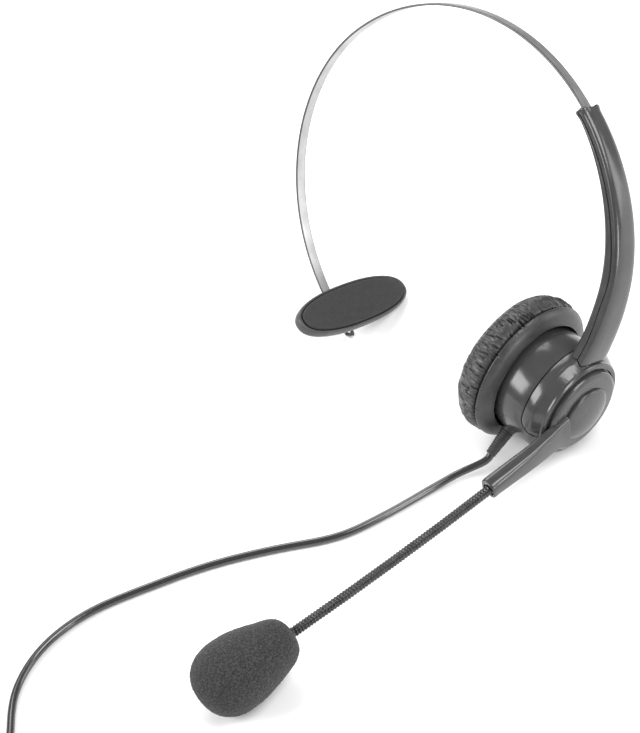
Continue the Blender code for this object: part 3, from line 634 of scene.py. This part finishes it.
def cord_points():
    """The cord's whole route, from inside its sleeve to inside its plug."""
    start = world_mm(CUP, exit_point(12.5))
    bend = world_mm(CUP, exit_point(17.5))
    run_in = coil_spot(COIL_IN, COIL_JOIN_R, -COIL_JOIN_RUN, CORD_Z)
    run_near = coil_spot(COIL_IN, COIL_JOIN_R, -COIL_NEAR_RUN, CORD_Z + 0.5)
    loose = catmull([start, bend, *ROUTE, run_in, run_near], CORD_LOOSE_POINTS)
    turns = coil_turns()
    ahead = Vector((cos(PLUG_TURN), sin(PLUG_TURN), 0))
    door = Vector((*PLUG_AT, PLUG_HIGH / 2))
    out_near = coil_spot(COIL_OUT, COIL_JOIN_R, COIL_NEAR_RUN, 5.6)
    run_out = coil_spot(COIL_OUT, COIL_JOIN_R, COIL_JOIN_RUN, 4.0)
    tail = [turns[-1], out_near, run_out, (204.4, 81.0, CORD_Z),
            door - ahead * 14 - Vector((0, 0, 0.9)), door - ahead * 5, door, door + ahead * 4.5]
    return loose + turns + catmull(tail, CORD_TAIL_POINTS)[1:]


def make_cord():
    """The cord as one open spline, and the points of its route."""
    points = cord_points()
    curve = bpy.data.curves.new("headset_cord", "CURVE")
    curve.dimensions = "3D"
    curve.bevel_depth = CORD_R * MM
    curve.bevel_resolution = 6
    curve.resolution_u = 4
    curve.use_fill_caps = True
    spline = curve.splines.new("NURBS")
    spline.points.add(len(points) - 1)
    for spot, point in zip(spline.points, points):
        spot.co = (*(point * MM), 1.0)
    spline.order_u = 3
    spline.use_endpoint_u = True
    obj = link(curve)
    dress(obj, "headset_cord", "cord_jacket", "headset", Matrix.Identity(4),
          "cord", "cord_coil", "cord_tail")
    return obj, points


def make_tie():
    """A cloth strap round the coil's turns."""
    half_wide, half_high, thick, corner = 9.35, 3.9, 0.75, 1.6
    half_strap, selvedge, worn, tuck = 3.9, 3.6, 0.12, 0.05
    middle = COIL_LOW_Z + COIL_STEP / 2 + 0.02
    section = ((-half_strap, worn), (-half_strap, thick - worn), (-selvedge, thick),
               (selvedge, thick), (half_strap, thick - worn), (half_strap, worn),
               (selvedge, 0.0), (-selvedge, 0.0))
    loops = [[(x, y, z) for x, z in rounded_section(half_wide + grow - tuck,
                                                    half_high + grow - tuck,
                                                    corner + grow - tuck, 7)]
             for y, grow in section]
    strap = skin(list(zip(*loops)), loop=True, sharp_deg=50)
    at = coil_spot(TIE_TURN, COIL_MEAN_R - 0.4, 0, middle)
    place = shift(at) @ Matrix.Rotation(TIE_TURN, 4, "Z")
    dress(strap, "cord_tie", "black_cloth", "headset", place, "coil_tie")
    return strap


def exit_place():
    """Where the cord leaves the housing, with Z along the way out."""
    return shift(exit_point(0)) @ Matrix.Rotation(radians(90) - EXIT_LEAN, 4, "Y")


def make_strain_relief():
    """A tapering rubber sleeve with rings moulded round it."""
    count, pitch, deep, taper = 11, 1.05, 0.2, 0.062
    profile = [(0, 14.0), (1.75, 14.0), (1.95, 13.8)]
    for k in range(count):
        top = 13.6 - pitch * k
        r = 2.15 + taper * k
        profile += [(r, top), (r, top - 0.62), (r - deep, top - 0.72),
                    (r - deep, top - 0.95)]
    profile += [(2.85, 1.9), (2.95, -2.0), (0, -2.0)]
    sleeve = lathe(fillet(profile, 0.12, closed=False, segments=2), 64, closed=False, sharp_deg=60)
    dress(sleeve, "cord_sleeve", "black_rubber", "headset", CUP @ exit_place(), "strain_relief")


# ---- ear cup

SADDLE_FRONT_Y = 13.8
SADDLE_LOW_Z = -9.5
SADDLE_CORNER = 5.5
SADDLE_GROOVE = 0.7  # round the saddle's edge
FINE_STEPS = 144  # round a turned piece that is seen close
CUSHION_ROWS, CUSHION_STEPS = 144, 688
CUSHION_SEED = 7
SEAM_AT = 5  # the cushion profile's point that lies in the seam
SEAM_DEEP = 0.25
CREASES = 310
CREASE_R = 30.8
GATHERS = 110  # fine puckers along the seam
GATHER_DEEP = 0.14
SWELL = 0.22  # slow unevenness of the stuffing
SWELL_SCALE = 2.2


def crease_depths(turn, past):
    """Creases across the gathered band: past is the way from the seam, in millimetres."""
    depth = np.zeros((len(past), len(turn)))
    rng = random.Random(CUSHION_SEED)
    for i in range(CREASES):
        centre = (i + rng.uniform(-0.4, 0.4)) / CREASES * 2 * pi
        middle = rng.uniform(0.6, 12.0)
        long = rng.uniform(1.1, 3.8)
        deep = rng.uniform(0.25, 0.85)
        wide = rng.uniform(0.26, 0.4)
        slant = rng.uniform(-0.25, 0.25)
        off = (turn[None, :] - centre + pi) % (2 * pi) - pi
        off = off * CREASE_R - slant * (past - middle)
        fade = np.exp(-((past - middle) / long) ** 4)
        depth -= deep * fade * np.exp(-(off / wide) ** 2)
        depth += 0.4 * deep * fade * np.exp(-((np.abs(off) - 2.0 * wide) / wide) ** 2)
    return depth


def cushion_swell(turn, run):
    """Smooth noise over the cushion, sampled at every few steps and then blended."""
    share = 8
    swell = [[noise.noise(Vector((cos(t) * SWELL_SCALE, sin(t) * SWELL_SCALE, 0.25 * s)))
              for t in turn[::share]] for s in run]
    swell = np.repeat(swell, share, axis=1)
    kernel = np.ones(2 * share + 1) / (2 * share + 1)
    return np.array([np.convolve(np.pad(row, share, "wrap"), kernel, "valid") for row in swell])


def make_cushion():
    """A leatherette ring, gathered at the seam round its outside."""
    ring = [(24.7, -0.3), (26.6, -0.85), (28.8, -1.9), (30.3, -3.4), (30.6, -4.4), (29.3, -5.2),
            (30.35, -6.0), (31.0, -8.2), (30.95, -11.2), (29.9, -14.4), (27.5, -17.1),
            (24.4, -18.15), (19.8, -18.15), (16.2, -16.7), (13.7, -13.4), (12.9, -10.0),
            (13.5, -7.3), (15.0, -6.5), (23.9, -6.3), (24.2, -0.9)]
    line = catmull([(r, y, 0) for r, y in ring], CUSHION_ROWS, closed=True)
    line = np.array([(p.x, p.y) for p in line])
    steps = np.linalg.norm(np.roll(line, -1, 0) - line, axis=1)
    run = np.concatenate([[0], np.cumsum(steps)[:-1]])
    seam_run = run[int(SEAM_AT / len(ring) * CUSHION_ROWS)]
    along = np.roll(line, -1, 0) - np.roll(line, 1, 0)
    along /= np.linalg.norm(along, axis=1)[:, None]
    out_r, out_y = -along[:, 1], along[:, 0]
    turn = np.linspace(0, 2 * pi, CUSHION_STEPS, endpoint=False)
    past = (run - seam_run)[:, None]
    depth = crease_depths(turn, past)
    seam = np.exp(-(past / 0.4) ** 2)
    gathers = 0.5 + 0.5 * np.sin(turn * GATHERS)[None, :]
    depth -= SEAM_DEEP * seam + GATHER_DEEP * gathers * np.exp(-((past - 0.8) / 0.6) ** 2)
    depth += SWELL * cushion_swell(turn, run) * np.clip(past / 2.0, 0, 1)
    r = line[:, 0, None] + out_r[:, None] * depth
    y = line[:, 1, None] + out_y[:, None] * depth
    rings = np.stack([r * np.cos(turn), r * np.sin(turn), y], -1)
    cushion = skin(rings, cap=False, loop=True, sharp_deg=80)
    dress(cushion, "ear_pad", "leatherette", "headset", CUP @ OUTWARDS, "ear_cushion")


def saddle_blank(g):
    """The shell round the housing's outer end, grown by g and trimmed to a U-shaped skirt."""
    profile = [(20.9 + g, 22.4 + g), (23.15 + g, 18.9), (23.5 + g, 18.0), (23.5 + g, 17.2),
               (23.62 + g, 17.05), (23.62 + g, 12.0 - g), (21.9 - g, 12.0 - g),
               (21.9 - g, 19.9), (20.2 - g, 21.6 - g)]
    shell = lathe(profile, FINE_STEPS)
    low_y, low_z = SADDLE_FRONT_Y - g, SADDLE_LOW_Z - g
    wide, deep, high, near_m = 60, 20, 50, 1e-6
    trim = box((wide, deep, high), (0, low_y + deep / 2, low_z + high / 2))
    mod = trim.modifiers.new("round", "BEVEL")
    mod.width = SADDLE_CORNER * MM
    mod.segments = 12
    mod.limit_method = "WEIGHT"
    weights = trim.data.attributes.new("bevel_weight_edge", "FLOAT", "EDGE")
    for edge in trim.data.edges:
        ends = [trim.data.vertices[i].co for i in edge.vertices]
        on_corner = all(abs(p.y - low_y * MM) < near_m and abs(p.z - low_z * MM) < near_m
                        for p in ends)
        weights.data[edge.index].value = 1.0 if on_corner else 0.0
    bake(trim)
    trim.data.transform(OUTWARDS.inverted())
    cut(shell, trim, "INTERSECT")
    return shell


def make_housing():
    """The cup's housing, with the saddle's groove and the cord's hole cut in it."""
    shell = [(19.6, 21.2), (21.2, 20.1), (22.6, 18.9), (23.15, 18.1), (HOUSING_R, 17.2),
             (HOUSING_R, 0.6), (23.1, 0.1), (23.1, -3.2), (21.0, -3.2), (21.0, 10.2),
             (19.2, 12.0), (19.2, 18.4), (4.3, 18.4), (4.3, 21.2)]
    housing = lathe(shell, FINE_STEPS)
    cut(housing, saddle_blank(SADDLE_GROOVE))
    drill(housing, OUTWARDS.inverted() @ exit_place(), 3.15, -8, 8)
    soften(housing, 0.14)
    dress(housing, "cup_housing", "gloss_black", "headset", CUP @ OUTWARDS, "ear_housing")


def make_collar():
    """The collar that the boom turns on, in one piece with the saddle."""
    face = [(20.6, 23.2), (21.3, 22.6), (21.3, 21.6), (4.3, 21.6), (4.3, 22.2), (19.0, 22.2),
            (19.0, 23.2)]
    collar = lathe(fillet(face, 0.25), FINE_STEPS)
    cut(collar, saddle_blank(0.0), "UNION")
    soften(collar, 0.16)
    dress(collar, "cup_collar", "gloss_black", "headset", CUP @ OUTWARDS, "swivel_collar")


# ---- slider arm and headband

BAND_CENTRE_Y = -69.0
BAND_CENTRE_Z = 30.0
BAND_R = 91.3
BAND_THICK = 0.9
BAND_INNER_DEG = 36.0
BAND_OUTER_DEG = 250.0
BAND_TIGHTEN = 15.0
SLOT_WIDTH = 6.4
SLOT_THICK = 1.6
SLOT_END_DEG = 20.5
RIVET_U = 5.3
ARM_GAP = 0.3
LIP_FLARE = 0.45
LIP_LONG = 3.6
LIP_ROUND = 1.3
MOUTH_DEG = 63.0  # past the arm's top end
ARM_SCREWS = (("arm_screw_upper", 14.0), ("arm_screw_lower", 4.0))
TIGHTEN_FROM_DEG = 143.0  # where the band's arc starts to tighten
TIGHTEN_OVER_DEG = 110.0
PIN_DEG = 247.6

# degrees about the band's centre, inner radius, split radius, outer radius, width
ARM_STATIONS = (
    (60.5, 89.2, 90.35, 94.0, 10.0),
    (56.0, 89.0, 90.35, 94.1, 10.0),
    (45.0, 88.2, 90.35, 94.1, 10.9),
    (30.0, 87.1, 90.35, 93.9, 12.2),
    (19.0, 86.0, 90.2, 93.4, 13.0),
    (10.0, 84.9, 88.2, 92.5, 13.9),
    (0.0, 83.9, 87.6, 91.6, 15.0),
    (-7.0, 83.6, 87.4, 91.3, 16.8),
)


def arm_point(deg, radius, x):
    """A point at an angle and a radius about the band's centre, in the cup's axes."""
    turn = radians(deg)
    return (x, BAND_CENTRE_Y + radius * cos(turn), BAND_CENTRE_Z + radius * sin(turn))


def arm_station(deg):
    """The arm's measures at an angle, on smooth curves through the stations."""
    degs = [row[0] for row in ARM_STATIONS]
    k = 0
    while k < len(degs) - 2 and deg < degs[k + 1]:
        k += 1
    u = (degs[k] - deg) / (degs[k] - degs[k + 1])
    rows = [ARM_STATIONS[max(k - 1, 0)], ARM_STATIONS[k], ARM_STATIONS[k + 1],
            ARM_STATIONS[min(k + 2, len(degs) - 1)]]
    out = []
    for i in range(1, 5):
        a, b, c, d = (row[i] for row in rows)
        spans = [max(rows[j][0] - rows[j + 1][0], 1e-6) for j in range(3)]
        slope_b = (c - a) / (spans[0] + spans[1]) if k > 0 else (c - b) / spans[1]
        slope_c = (d - b) / (spans[1] + spans[2]) if k < len(degs) - 2 else (c - b) / spans[1]
        m0, m1 = slope_b * spans[1], slope_c * spans[1]
        out.append((2 * u ** 3 - 3 * u ** 2 + 1) * b + (u ** 3 - 2 * u ** 2 + u) * m0
                   + (3 * u ** 2 - 2 * u ** 3) * c + (u ** 3 - u ** 2) * m1)
    return out


def lip(run):
    """How far the arm flares out, run mm from its top end, with the end rounded over."""
    flare = LIP_FLARE * smoothstep(1 - run / LIP_LONG)
    inset = 1 - min(run / LIP_ROUND, 1)
    return flare - LIP_ROUND * (1 - sqrt(max(1 - inset * inset, 0)))


def arm_skins(steps=110):
    """Rings of the arm's outer shell and of its inner cover."""
    outer, inner = [], []
    first, last = ARM_STATIONS[0][0], ARM_STATIONS[-1][0]
    runs = [0, 0.03, 0.12, 0.26, 0.45, 0.7, 1.0, 1.3, 1.6, 2.0, 2.5, 3.0, 3.6]
    degs = [first - degrees(run / BAND_R) for run in runs]
    degs += list(np.linspace(degs[-1], last, steps)[1:])
    for deg in degs:
        low, split, high, width = arm_station(deg)
        out = lip(radians(first - deg) * BAND_R)
        low, high, half = low - 0.6 * out, high + out, width / 2 + out
        base, edge = split + ARM_GAP / 2, high - 1.9
        crown = [(half - 0.3, base), (half - 0.06, base + 0.25)]
        for k in range(31):
            t = pi * k / 30
            crown.append((half * copysign(abs(cos(t)) ** 0.66, cos(t)),
                          edge + 1.9 * abs(sin(t)) ** 0.9))
        crown += [(0.06 - half, base + 0.25), (0.3 - half, base)]
        outer.append([arm_point(deg, r, x) for x, r in crown])
        base = split - ARM_GAP / 2
        rim = low + 0.45 * (base - low)
        lid = [(0.3 - half, base), (0.06 - half, base - 0.25)]
        for k in range(15):
            t = pi * k / 14
            lid.append((-half * copysign(abs(cos(t)) ** 0.4, cos(t)),
                        rim - (rim - low) * abs(sin(t)) ** 0.6))
        lid += [(half - 0.06, base - 0.25), (half - 0.3, base)]
        inner.append([arm_point(deg, r, x) for x, r in lid])
    return outer, inner


def radial(deg, radius):
    """The place of such a point, with Z away from the band's centre."""
    return shift(arm_point(deg, radius, 0)) @ Matrix.Rotation(radians(deg - 90), 4, "X")


def slot_shape():
    """The room in the arm that the band slides in."""
    sections = []
    for i in range(41):
        deg = SLOT_END_DEG + (MOUTH_DEG - SLOT_END_DEG) * i / 40
        half = SLOT_WIDTH / 2
        low, high = BAND_R - SLOT_THICK, BAND_R + SLOT_THICK / 2
        sections.append([arm_point(deg, r, x) for r, x in
                         ((low, -half), (high, -half), (high, half), (low, half))])
    return skin(sections)


def mouth_shape():
    """The wider mouth that the band comes out of, at the arm's top."""
    sections = []
    for deg, half, low, high in ((59.0, 3.3, -0.9, 0.9), (59.5, 3.8, -1.3, 1.9),
                                 (59.8, 3.9, -1.35, 3.6), (61.2, 4.0, -1.4, 7.5)):
        sections.append([arm_point(deg, BAND_R + lift, x) for x, lift in
                         fillet([(-half, low), (-half, high), (half, high), (half, low)], 0.8)])
    return skin(sections)


def collar_clearance():
    """The room that the arm leaves round the collar and the saddle."""
    profile = [(0, 26.0), (21.7, 26.0), (21.7, 22.5), (23.9, 18.6), (23.9, 8.0), (0, 8.0)]
    shape = lathe(profile, FINE_STEPS, closed=False)
    shape.data.transform(OUTWARDS)
    return shape


def make_arm():
    """The slider arm's outer shell and inner cover."""
    shell, cover = (skin(rings) for rings in arm_skins())
    for piece in (shell, cover):
        for shape in (slot_shape, mouth_shape, collar_clearance):
            cut(piece, shape())
    for _, deg in ARM_SCREWS:
        place = radial(deg, arm_station(deg)[0])
        for piece in (cover, shell):
            drill(piece, place, 1.3, -2, 6.0)
        drill(cover, place, 2.5, -2, 2.5)
    for piece, name, node in ((shell, "arm_outer", "arm_shell"),
                              (cover, "arm_inner", "arm_cover")):
        soften(piece, 0.22)
        dress(piece, name, "gloss_black", "headset", CUP, node)


def make_arm_screws():
    """Sunk cross-slotted screw heads."""
    for name, deg in ARM_SCREWS:
        low = arm_station(deg)[0]
        profile = fillet([(0, 5.6), (1.0, 5.0), (1.0, 2.2), (2.15, 2.2), (2.15, 1.1), (1.6, 0.6),
                          (0, 0.6)], 0.2, closed=False)
        screw = lathe(profile, 48, closed=False)
        for turn in (0, 90):
            slit = box((0.55, 2.5, 1.4), (0, 0, 0.7))
            slit.data.transform(Matrix.Rotation(radians(turn), 4, "Z"))
            cut(screw, slit)
        dress(screw, name + "_head", "black_steel", "headset", CUP @ radial(deg, low), name)


def band_point(deg, lift=0.0, x=0.0):
    """A point of the headband in its own axes, whose origin is its arc's centre."""
    def radius(at):
        return BAND_R - BAND_TIGHTEN * smoothstep((at - TIGHTEN_FROM_DEG) / TIGHTEN_OVER_DEG)
    turn, step = radians(deg), radians(0.5)
    spot = Vector((cos(turn), sin(turn))) * radius(deg)
    along = Vector((cos(turn + step), sin(turn + step))) * radius(deg + 0.5) - spot
    spot += Vector((along.y, -along.x)).normalized() * lift
    return (x, spot.x, spot.y)


def temple_matrix(u, n):
    """A place beside the temple pad: u down the band and n off it, in millimetres."""
    return TEMPLE @ shift((0, u, n - TEMPLE_PIVOT))


def make_headband():
    """The spring steel band, with a rounded tip."""
    a, b = BAND_WIDTH / 2, BAND_THICK / 2
    outline = fillet([(a, -b), (a, b), (-a, b), (-a, -b)], 0.34, segments=5)
    sections = []
    end = BAND_OUTER_DEG
    tip = degrees(BAND_WIDTH / 2 / (BAND_R - BAND_TIGHTEN))
    degs = list(np.linspace(BAND_INNER_DEG, end - tip, 260))
    degs += [end - tip + tip * sin(radians(a)) for a in (15, 30, 45, 58, 70, 79, 85, 89)]
    for deg in degs:
        close = max(deg - (end - tip), 0) / tip
        narrow = max(sqrt(max(1 - close * close, 0)), 0.04)
        sections.append([band_point(deg, lift, x * narrow) for x, lift in outline])
    band = skin(sections, sharp_deg=60)
    for place in (shift(band_point(PIN_DEG)) @ Matrix.Rotation(TEMPLE_SLOPE, 4, "X"),
                  BAND.inverted() @ temple_matrix(RIVET_U, 0)):
        drill(band, place, 1.0, -3, 3)
    bake(band, 60)
    dress(band, "steel_band", "band_steel", "headband", BAND, "headband_spring")
    # the band's own steel, with painted shade along its edges
    band.data.materials[0] = bright_steel("band_steel_painted_edge_shade", painted_edge_shade=True)


def make_temple_hardware():
    """The rivet through the band, and the pin that the temple pad tilts on."""
    rivet = lathe(fillet([(0, 2.35), (1.2, 2.2), (1.6, 1.75), (0.7, 1.75), (0.7, -1.25),
                          (1.6, -1.25), (1.2, -1.7), (0, -1.85)], 0.25, closed=False), 40,
                  closed=False)
    dress(rivet, "band_rivet", "band_steel", "headband", temple_matrix(RIVET_U, 0), "temple_rivet")
    pin = lathe(fillet([(0, 4.9), (1.4, 4.9), (1.4, 4.4), (0.65, 4.4), (0.65, -4.9), (0, -4.9)],
                       0.15, closed=False), 40, closed=False)
    dress(pin, "pad_pin", "band_steel", "headband", TEMPLE @ FORWARDS, "temple_pin")


# ---- temple pad

PAD_LENGTH = 70.5
PAD_WIDTH = 21.0
PAD_YAW = radians(5.5)
PAD_OFFSET = (-1.2, 1.0)


def pad_outline(scale_x, scale_u, height, points=144):
    """The temple pad's outline at a height, scaled along and across."""
    ring = []
    for i in range(points):
        turn = 2 * pi * i / points
        c, s = cos(turn), sin(turn)
        spot = Vector((copysign(abs(c) ** 0.86, c) * PAD_LENGTH / 2 * scale_x,
                       copysign(abs(s) ** 0.86, s) * PAD_WIDTH / 2 * scale_u,
                       height - TEMPLE_PIVOT))
        ring.append(tuple(Matrix.Rotation(PAD_YAW, 3, "Z") @ spot + Vector((*PAD_OFFSET, 0))))
    return ring


def pad_rings(stations, count):
    """Outlines that run smoothly through the given ones."""
    return [pad_outline(p.x, p.y, p.z) for p in catmull(stations, count)]


def make_temple_pad():
    """The pad's stiff back, with its lug, and its soft front."""
    back = [(0.84, 0.68, 5.55), (0.93, 0.84, 5.8), (0.982, 0.96, 6.5), (1.0, 1.0, 7.6),
            (1.003, 1.01, 9.0), (1.0, 1.0, 10.3), (0.99, 0.972, 10.72), (0.97, 0.93, 10.8),
            (0.958, 0.905, 10.6)]
    rim = [(0.955, 0.9, 10.2), (0.955, 0.9, 8.68), (0.90, 0.80, 8.68)]
    shell = skin([pad_outline(0.4, 0.33, 5.5)] + pad_rings(back, 44)
                 + [pad_outline(*measures) for measures in rim], sharp_deg=50)
    drill(shell, FORWARDS, 1.5, -2.2, 2.2, "UNION")
    cut(shell, box((4.4, 3.0, 3.0), (0, 0, 1.5)), "UNION")
    drill(shell, FORWARDS, 0.85, -4, 4)
    dress(shell, "pad_back", "satin_black", "temple_pad", TEMPLE, "temple_shell")
    stations = [(0.93, 0.86, 8.9), (0.94, 0.875, 9.3), (0.942, 0.878, 10.4),
                (0.936, 0.866, 10.95), (0.918, 0.835, 11.3), (0.89, 0.79, 11.45)]
    rings = ([pad_outline(0.5, 0.45, 8.85)] + pad_rings(stations, 34)
             + [pad_outline(s, s * 0.88, 11.5) for s in (0.85, 0.7, 0.5, 0.3, 0.12)])
    pad = skin(rings, sharp_deg=70)
    dress(pad, "pad_front", "temple_pad", "temple_pad", TEMPLE, "temple_cushion", "temple_plate")


# ---- boom

def make_hub():
    """The boom's disc with its crowned root, and its domed cap."""
    profile = [(11.9, 25.8), (16.9, 25.45), (18.0, 24.8), (18.3, 24.2), (18.3, 22.5),
               (3.8, 22.5), (3.8, 24.2), (9.4, 24.2), (9.4, 25.8)]
    hub = lathe([(r, y - BOOM_Y) for r, y in fillet(profile, 0.3)], FINE_STEPS)
    hub.data.transform(OUTWARDS)
    # X, low and high Y, half height, corner
    stations = ((9.6, 24.8, 27.62, 7.3, 0.7), (14.0, 23.8, 27.5, 6.7, 0.8),
                (20.0, 23.4, 27.75, 5.95, 1.0), (30.0, 22.6, 28.0, 5.15, 1.5),
                (40.0, 21.4, 27.7, 4.6, 2.0), (47.5, 20.5, 27.4, 4.3, 2.5),
                (50.9, 20.25, 27.4, 4.15, 2.6), (51.5, 20.6, 27.05, 3.8, 2.4))
    xs, _, _, rests, corners = zip(*stations)
    sections = []
    for spot in catmull([s[:3] for s in stations], 49):
        rest = np.interp(spot.x, xs, rests)
        corner = np.interp(spot.x, xs, corners)
        ring = rounded_section((spot.z - spot.y) / 2, rest, corner)
        sections.append([(spot.x, (spot.y + spot.z) / 2 + a - BOOM_Y, b) for a, b in ring])
    root = skin(sections, sharp_deg=50)
    cut(hub, root, "UNION")
    drill(hub, shift((0, neck_y(NECK_START) - BOOM_Y, 0)) @ FORWARDS, 2.75, 50.0, 53.0)
    soften(hub, 0.3, 3)
    dress(hub, "boom_arm", "gloss_black", "boom", BOOM, "boom_hub")
    cap = [(0, 28.65), (2.5, 28.6), (5.0, 28.42), (7.5, 28.08), (9.6, 27.62), (11.0, 27.2),
           (11.5, 26.9), (11.65, 26.5), (11.65, 26.0), (9.1, 26.0), (9.1, 25.4), (7.9, 25.4),
           (7.9, 26.9), (0, 26.9)]
    cap = lathe([(r, y - BOOM_Y) for r, y in cap], FINE_STEPS, closed=False)
    dress(cap, "boom_cap", "gloss_black", "boom", BOOM @ OUTWARDS, "hub_cap")


NECK_R = 2.12
COIL_PITCH = 1.35  # of the gooseneck's wound wires
RIB_HIGH = 0.55
NECK_SIDES = 36
RINGS_PER_PITCH = 14
NECK_TUCK = 1.6  # how far the gooseneck reaches into the boom
MIC_TUCK = 1.5  # and past its end into the microphone
BLEND_MARGIN = 1.0  # in from each end of a middle stretch
NECK_ENDS = {0: ("boom", "gooseneck_1"), NECK_PIECES: ("microphone", "gooseneck_4")}


def neck_rib(distance, turn):
    """How far the wound wires stand out: a thick round wire with a thin one between."""
    phase = (distance / COIL_PITCH + turn / (2 * pi)) % 1.0
    thick = sqrt(max(1 - ((phase - 0.38) / 0.38) ** 2, 0))
    thin = 0.5 * sqrt(max(1 - ((phase - 0.88) / 0.12) ** 2, 0))
    return NECK_R - RIB_HIGH * (1 - max(thick, thin))


def neck_centre(distance):
    """A point on the gooseneck's middle line, and the way it runs, in world millimetres."""
    left = distance
    for k in range(NECK_PIECES):
        long = neck_length(k)
        if left <= long or k == NECK_PIECES - 1:
            place = neck_matrix(k)
            return world_mm(place, (left, 0, 0)), place
        left -= long


def make_gooseneck():
    """Wound wire in stretches that each run over one joint and meet mid-piece."""
    lengths = [neck_length(k) for k in range(NECK_PIECES)]
    starts = [sum(lengths[:k]) for k in range(NECK_PIECES + 1)]
    middles = [starts[k] + lengths[k] / 2 for k in range(NECK_PIECES)]
    stops = [-NECK_TUCK, *middles, starts[-1] + MIC_TUCK]
    for number, (low, high) in enumerate(zip(stops, stops[1:])):
        count = int((high - low) / COIL_PITCH * RINGS_PER_PITCH)
        rings = []
        for i in range(count + 1):
            distance = low + (high - low) * i / count
            centre, place = neck_centre(max(distance, 0.0))
            ahead, side, up = place.to_3x3().col
            if distance < 0:
                centre = centre + ahead * distance
            ring = []
            for j in range(NECK_SIDES):
                turn = 2 * pi * j / NECK_SIDES
                reach = neck_rib(distance, turn)
                ring.append(centre + side * reach * cos(turn) + up * reach * sin(turn))
            rings.append([tuple(p) for p in ring])
        piece = skin(rings, sharp_deg=70)
        name = f"wound_neck_{number + 1}"
        if number in NECK_ENDS:
            body, node = NECK_ENDS[number]
            dress(piece, name, "gooseneck_steel", body, Matrix.Identity(4), node)
            continue
        piece.name = piece.data.name = name
        piece.data.materials.append(LOOKS["gooseneck_steel"])
        start = neck_centre(low + BLEND_MARGIN)[0] * MM
        end = neck_centre(high - BLEND_MARGIN)[0] * MM
        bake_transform(piece)
        if number < NECK_PIECES - 1:
            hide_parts(f"gooseneck_{number + 1}")


def make_microphone():
    """The microphone's tube, and the foam over it."""
    start = neck_length(NECK_PIECES - 1) + 0.3
    place = neck_matrix(NECK_PIECES - 1) @ FORWARDS
    shell = fillet([(0, start + 5.0), (3.1, start + 5.0), (3.1, start + 13.0),
                    (3.9, start + 13.0), (3.9, start + 2.0), (2.5, start), (0, start)], 0.3,
                   closed=False)
    dress(lathe(shell, 72, closed=False), "mic_tube", "satin_black", "microphone", place,
          "mic_housing")
    outer = [(0.0, 42.5), (5.2, 41.7), (9.6, 39.5), (12.9, 35.5), (14.4, 31.0), (14.6, 26.5),
             (14.2, 21.0), (12.85, 15.0), (11.2, 9.6), (9.5, 5.0), (7.2, 1.8), (4.5, 0.5)]
    line = [(max(p.x, 0.0), p.y) for p in catmull([(r, z, 0) for r, z in outer], 150)]
    line[0] = (0.0, line[0][1])
    line += [(4.35, 1.2), (4.35, 14.0), (0.0, 14.0)]
    screen = lathe([(r, start + z) for r, z in line], 300, closed=False, sharp_deg=80)
    moves = []
    for vertex in screen.data.vertices:
        spot = vertex.co / MM
        if hypot(spot.x, spot.y) < 4.6 and spot.z < start + 14.5:
            moves.append(Vector())
            continue
        grain = noise.noise(spot * 1.5) * 0.16 + noise.noise(spot * 3.3) * 0.10
        grain += noise.noise(spot * 0.13) * 0.2
        moves.append(vertex.normal * (grain - 0.12) * MM)
    for vertex, move in zip(screen.data.vertices, moves):
        vertex.co += move
    dress(screen, "foam_screen", "foam", "microphone", place, "windscreen")


# ---- what the frame keeps

def dress_frame():
    """Give every CAD piece that still shows the finish of its slot."""
    slots = {row["node"]: row["material_slot"] for row in frame["record"]["subparts"]}
    for name, obj in frame["nodes"].items():
        obj.data.materials.clear()
        obj.data.materials.append(LOOKS[slots[name]])


# ---- stage

FLOOR_SIZE_M = 6.0
FLOOR_Z_M = -0.0001
SKY_STRENGTH = 0.42
LAMP_AIM_M = (0.0, 0.0, 0.05)
LAMPS = (
    # name, place, size, power
    ("key", (-0.35, 0.75, 1.3), (0.8, 0.8), 17.0),
    ("side", (0.86, -0.61, 0.68), (0.8, 0.6), 15.0),
    ("back", (-0.65, -0.92, 1.05), (0.9, 0.9), 13.0),
    ("low", (-1.05, 0.92, 0.36), (0.55, 0.7), 5.0),
    ("front", (-0.12, 1.5, 0.3), (0.4, 0.56), 7.0),
)


def make_stage():
    """The white table, the even light round it and the lamps."""
    bm = bmesh.new()
    bmesh.ops.create_grid(bm, x_segments=1, y_segments=1, size=FLOOR_SIZE_M / 2)
    mesh = bpy.data.meshes.new("floor")
    bm.to_mesh(mesh)
    bm.free()
    floor = link(mesh)
    floor.location.z = FLOOR_Z_M
    floor.data.materials.append(Finish("floor", (0.92, 0.92, 0.92), 0.9).material)
    world = bpy.data.worlds.new("studio")
    bpy.context.scene.world = world
    world.use_nodes = True
    sky = world.node_tree.nodes["Background"]
    sky.inputs["Color"].default_value = (1.0, 1.0, 1.0, 1.0)
    sky.inputs["Strength"].default_value = SKY_STRENGTH
    bpy.context.scene.view_settings.view_transform = "Standard"
    for name, at, size, power in LAMPS:
        lamp = bpy.data.lights.new(name, "AREA")
        lamp.shape = "RECTANGLE"
        lamp.size, lamp.size_y = size
        lamp.energy = power
        obj = link(lamp)
        obj.location = at
        aim = Vector(LAMP_AIM_M) - Vector(at)
        obj.rotation_euler = aim.to_track_quat("-Z", "Y").to_euler()


# ---- assembly

dress_frame()
cord, route = make_cord()
tie = make_tie()
make_strain_relief()
make_cushion()
make_housing()
make_collar()
make_arm()
make_arm_screws()
make_headband()
make_temple_hardware()
make_temple_pad()
make_hub()
make_gooseneck()
make_microphone()
make_stage()
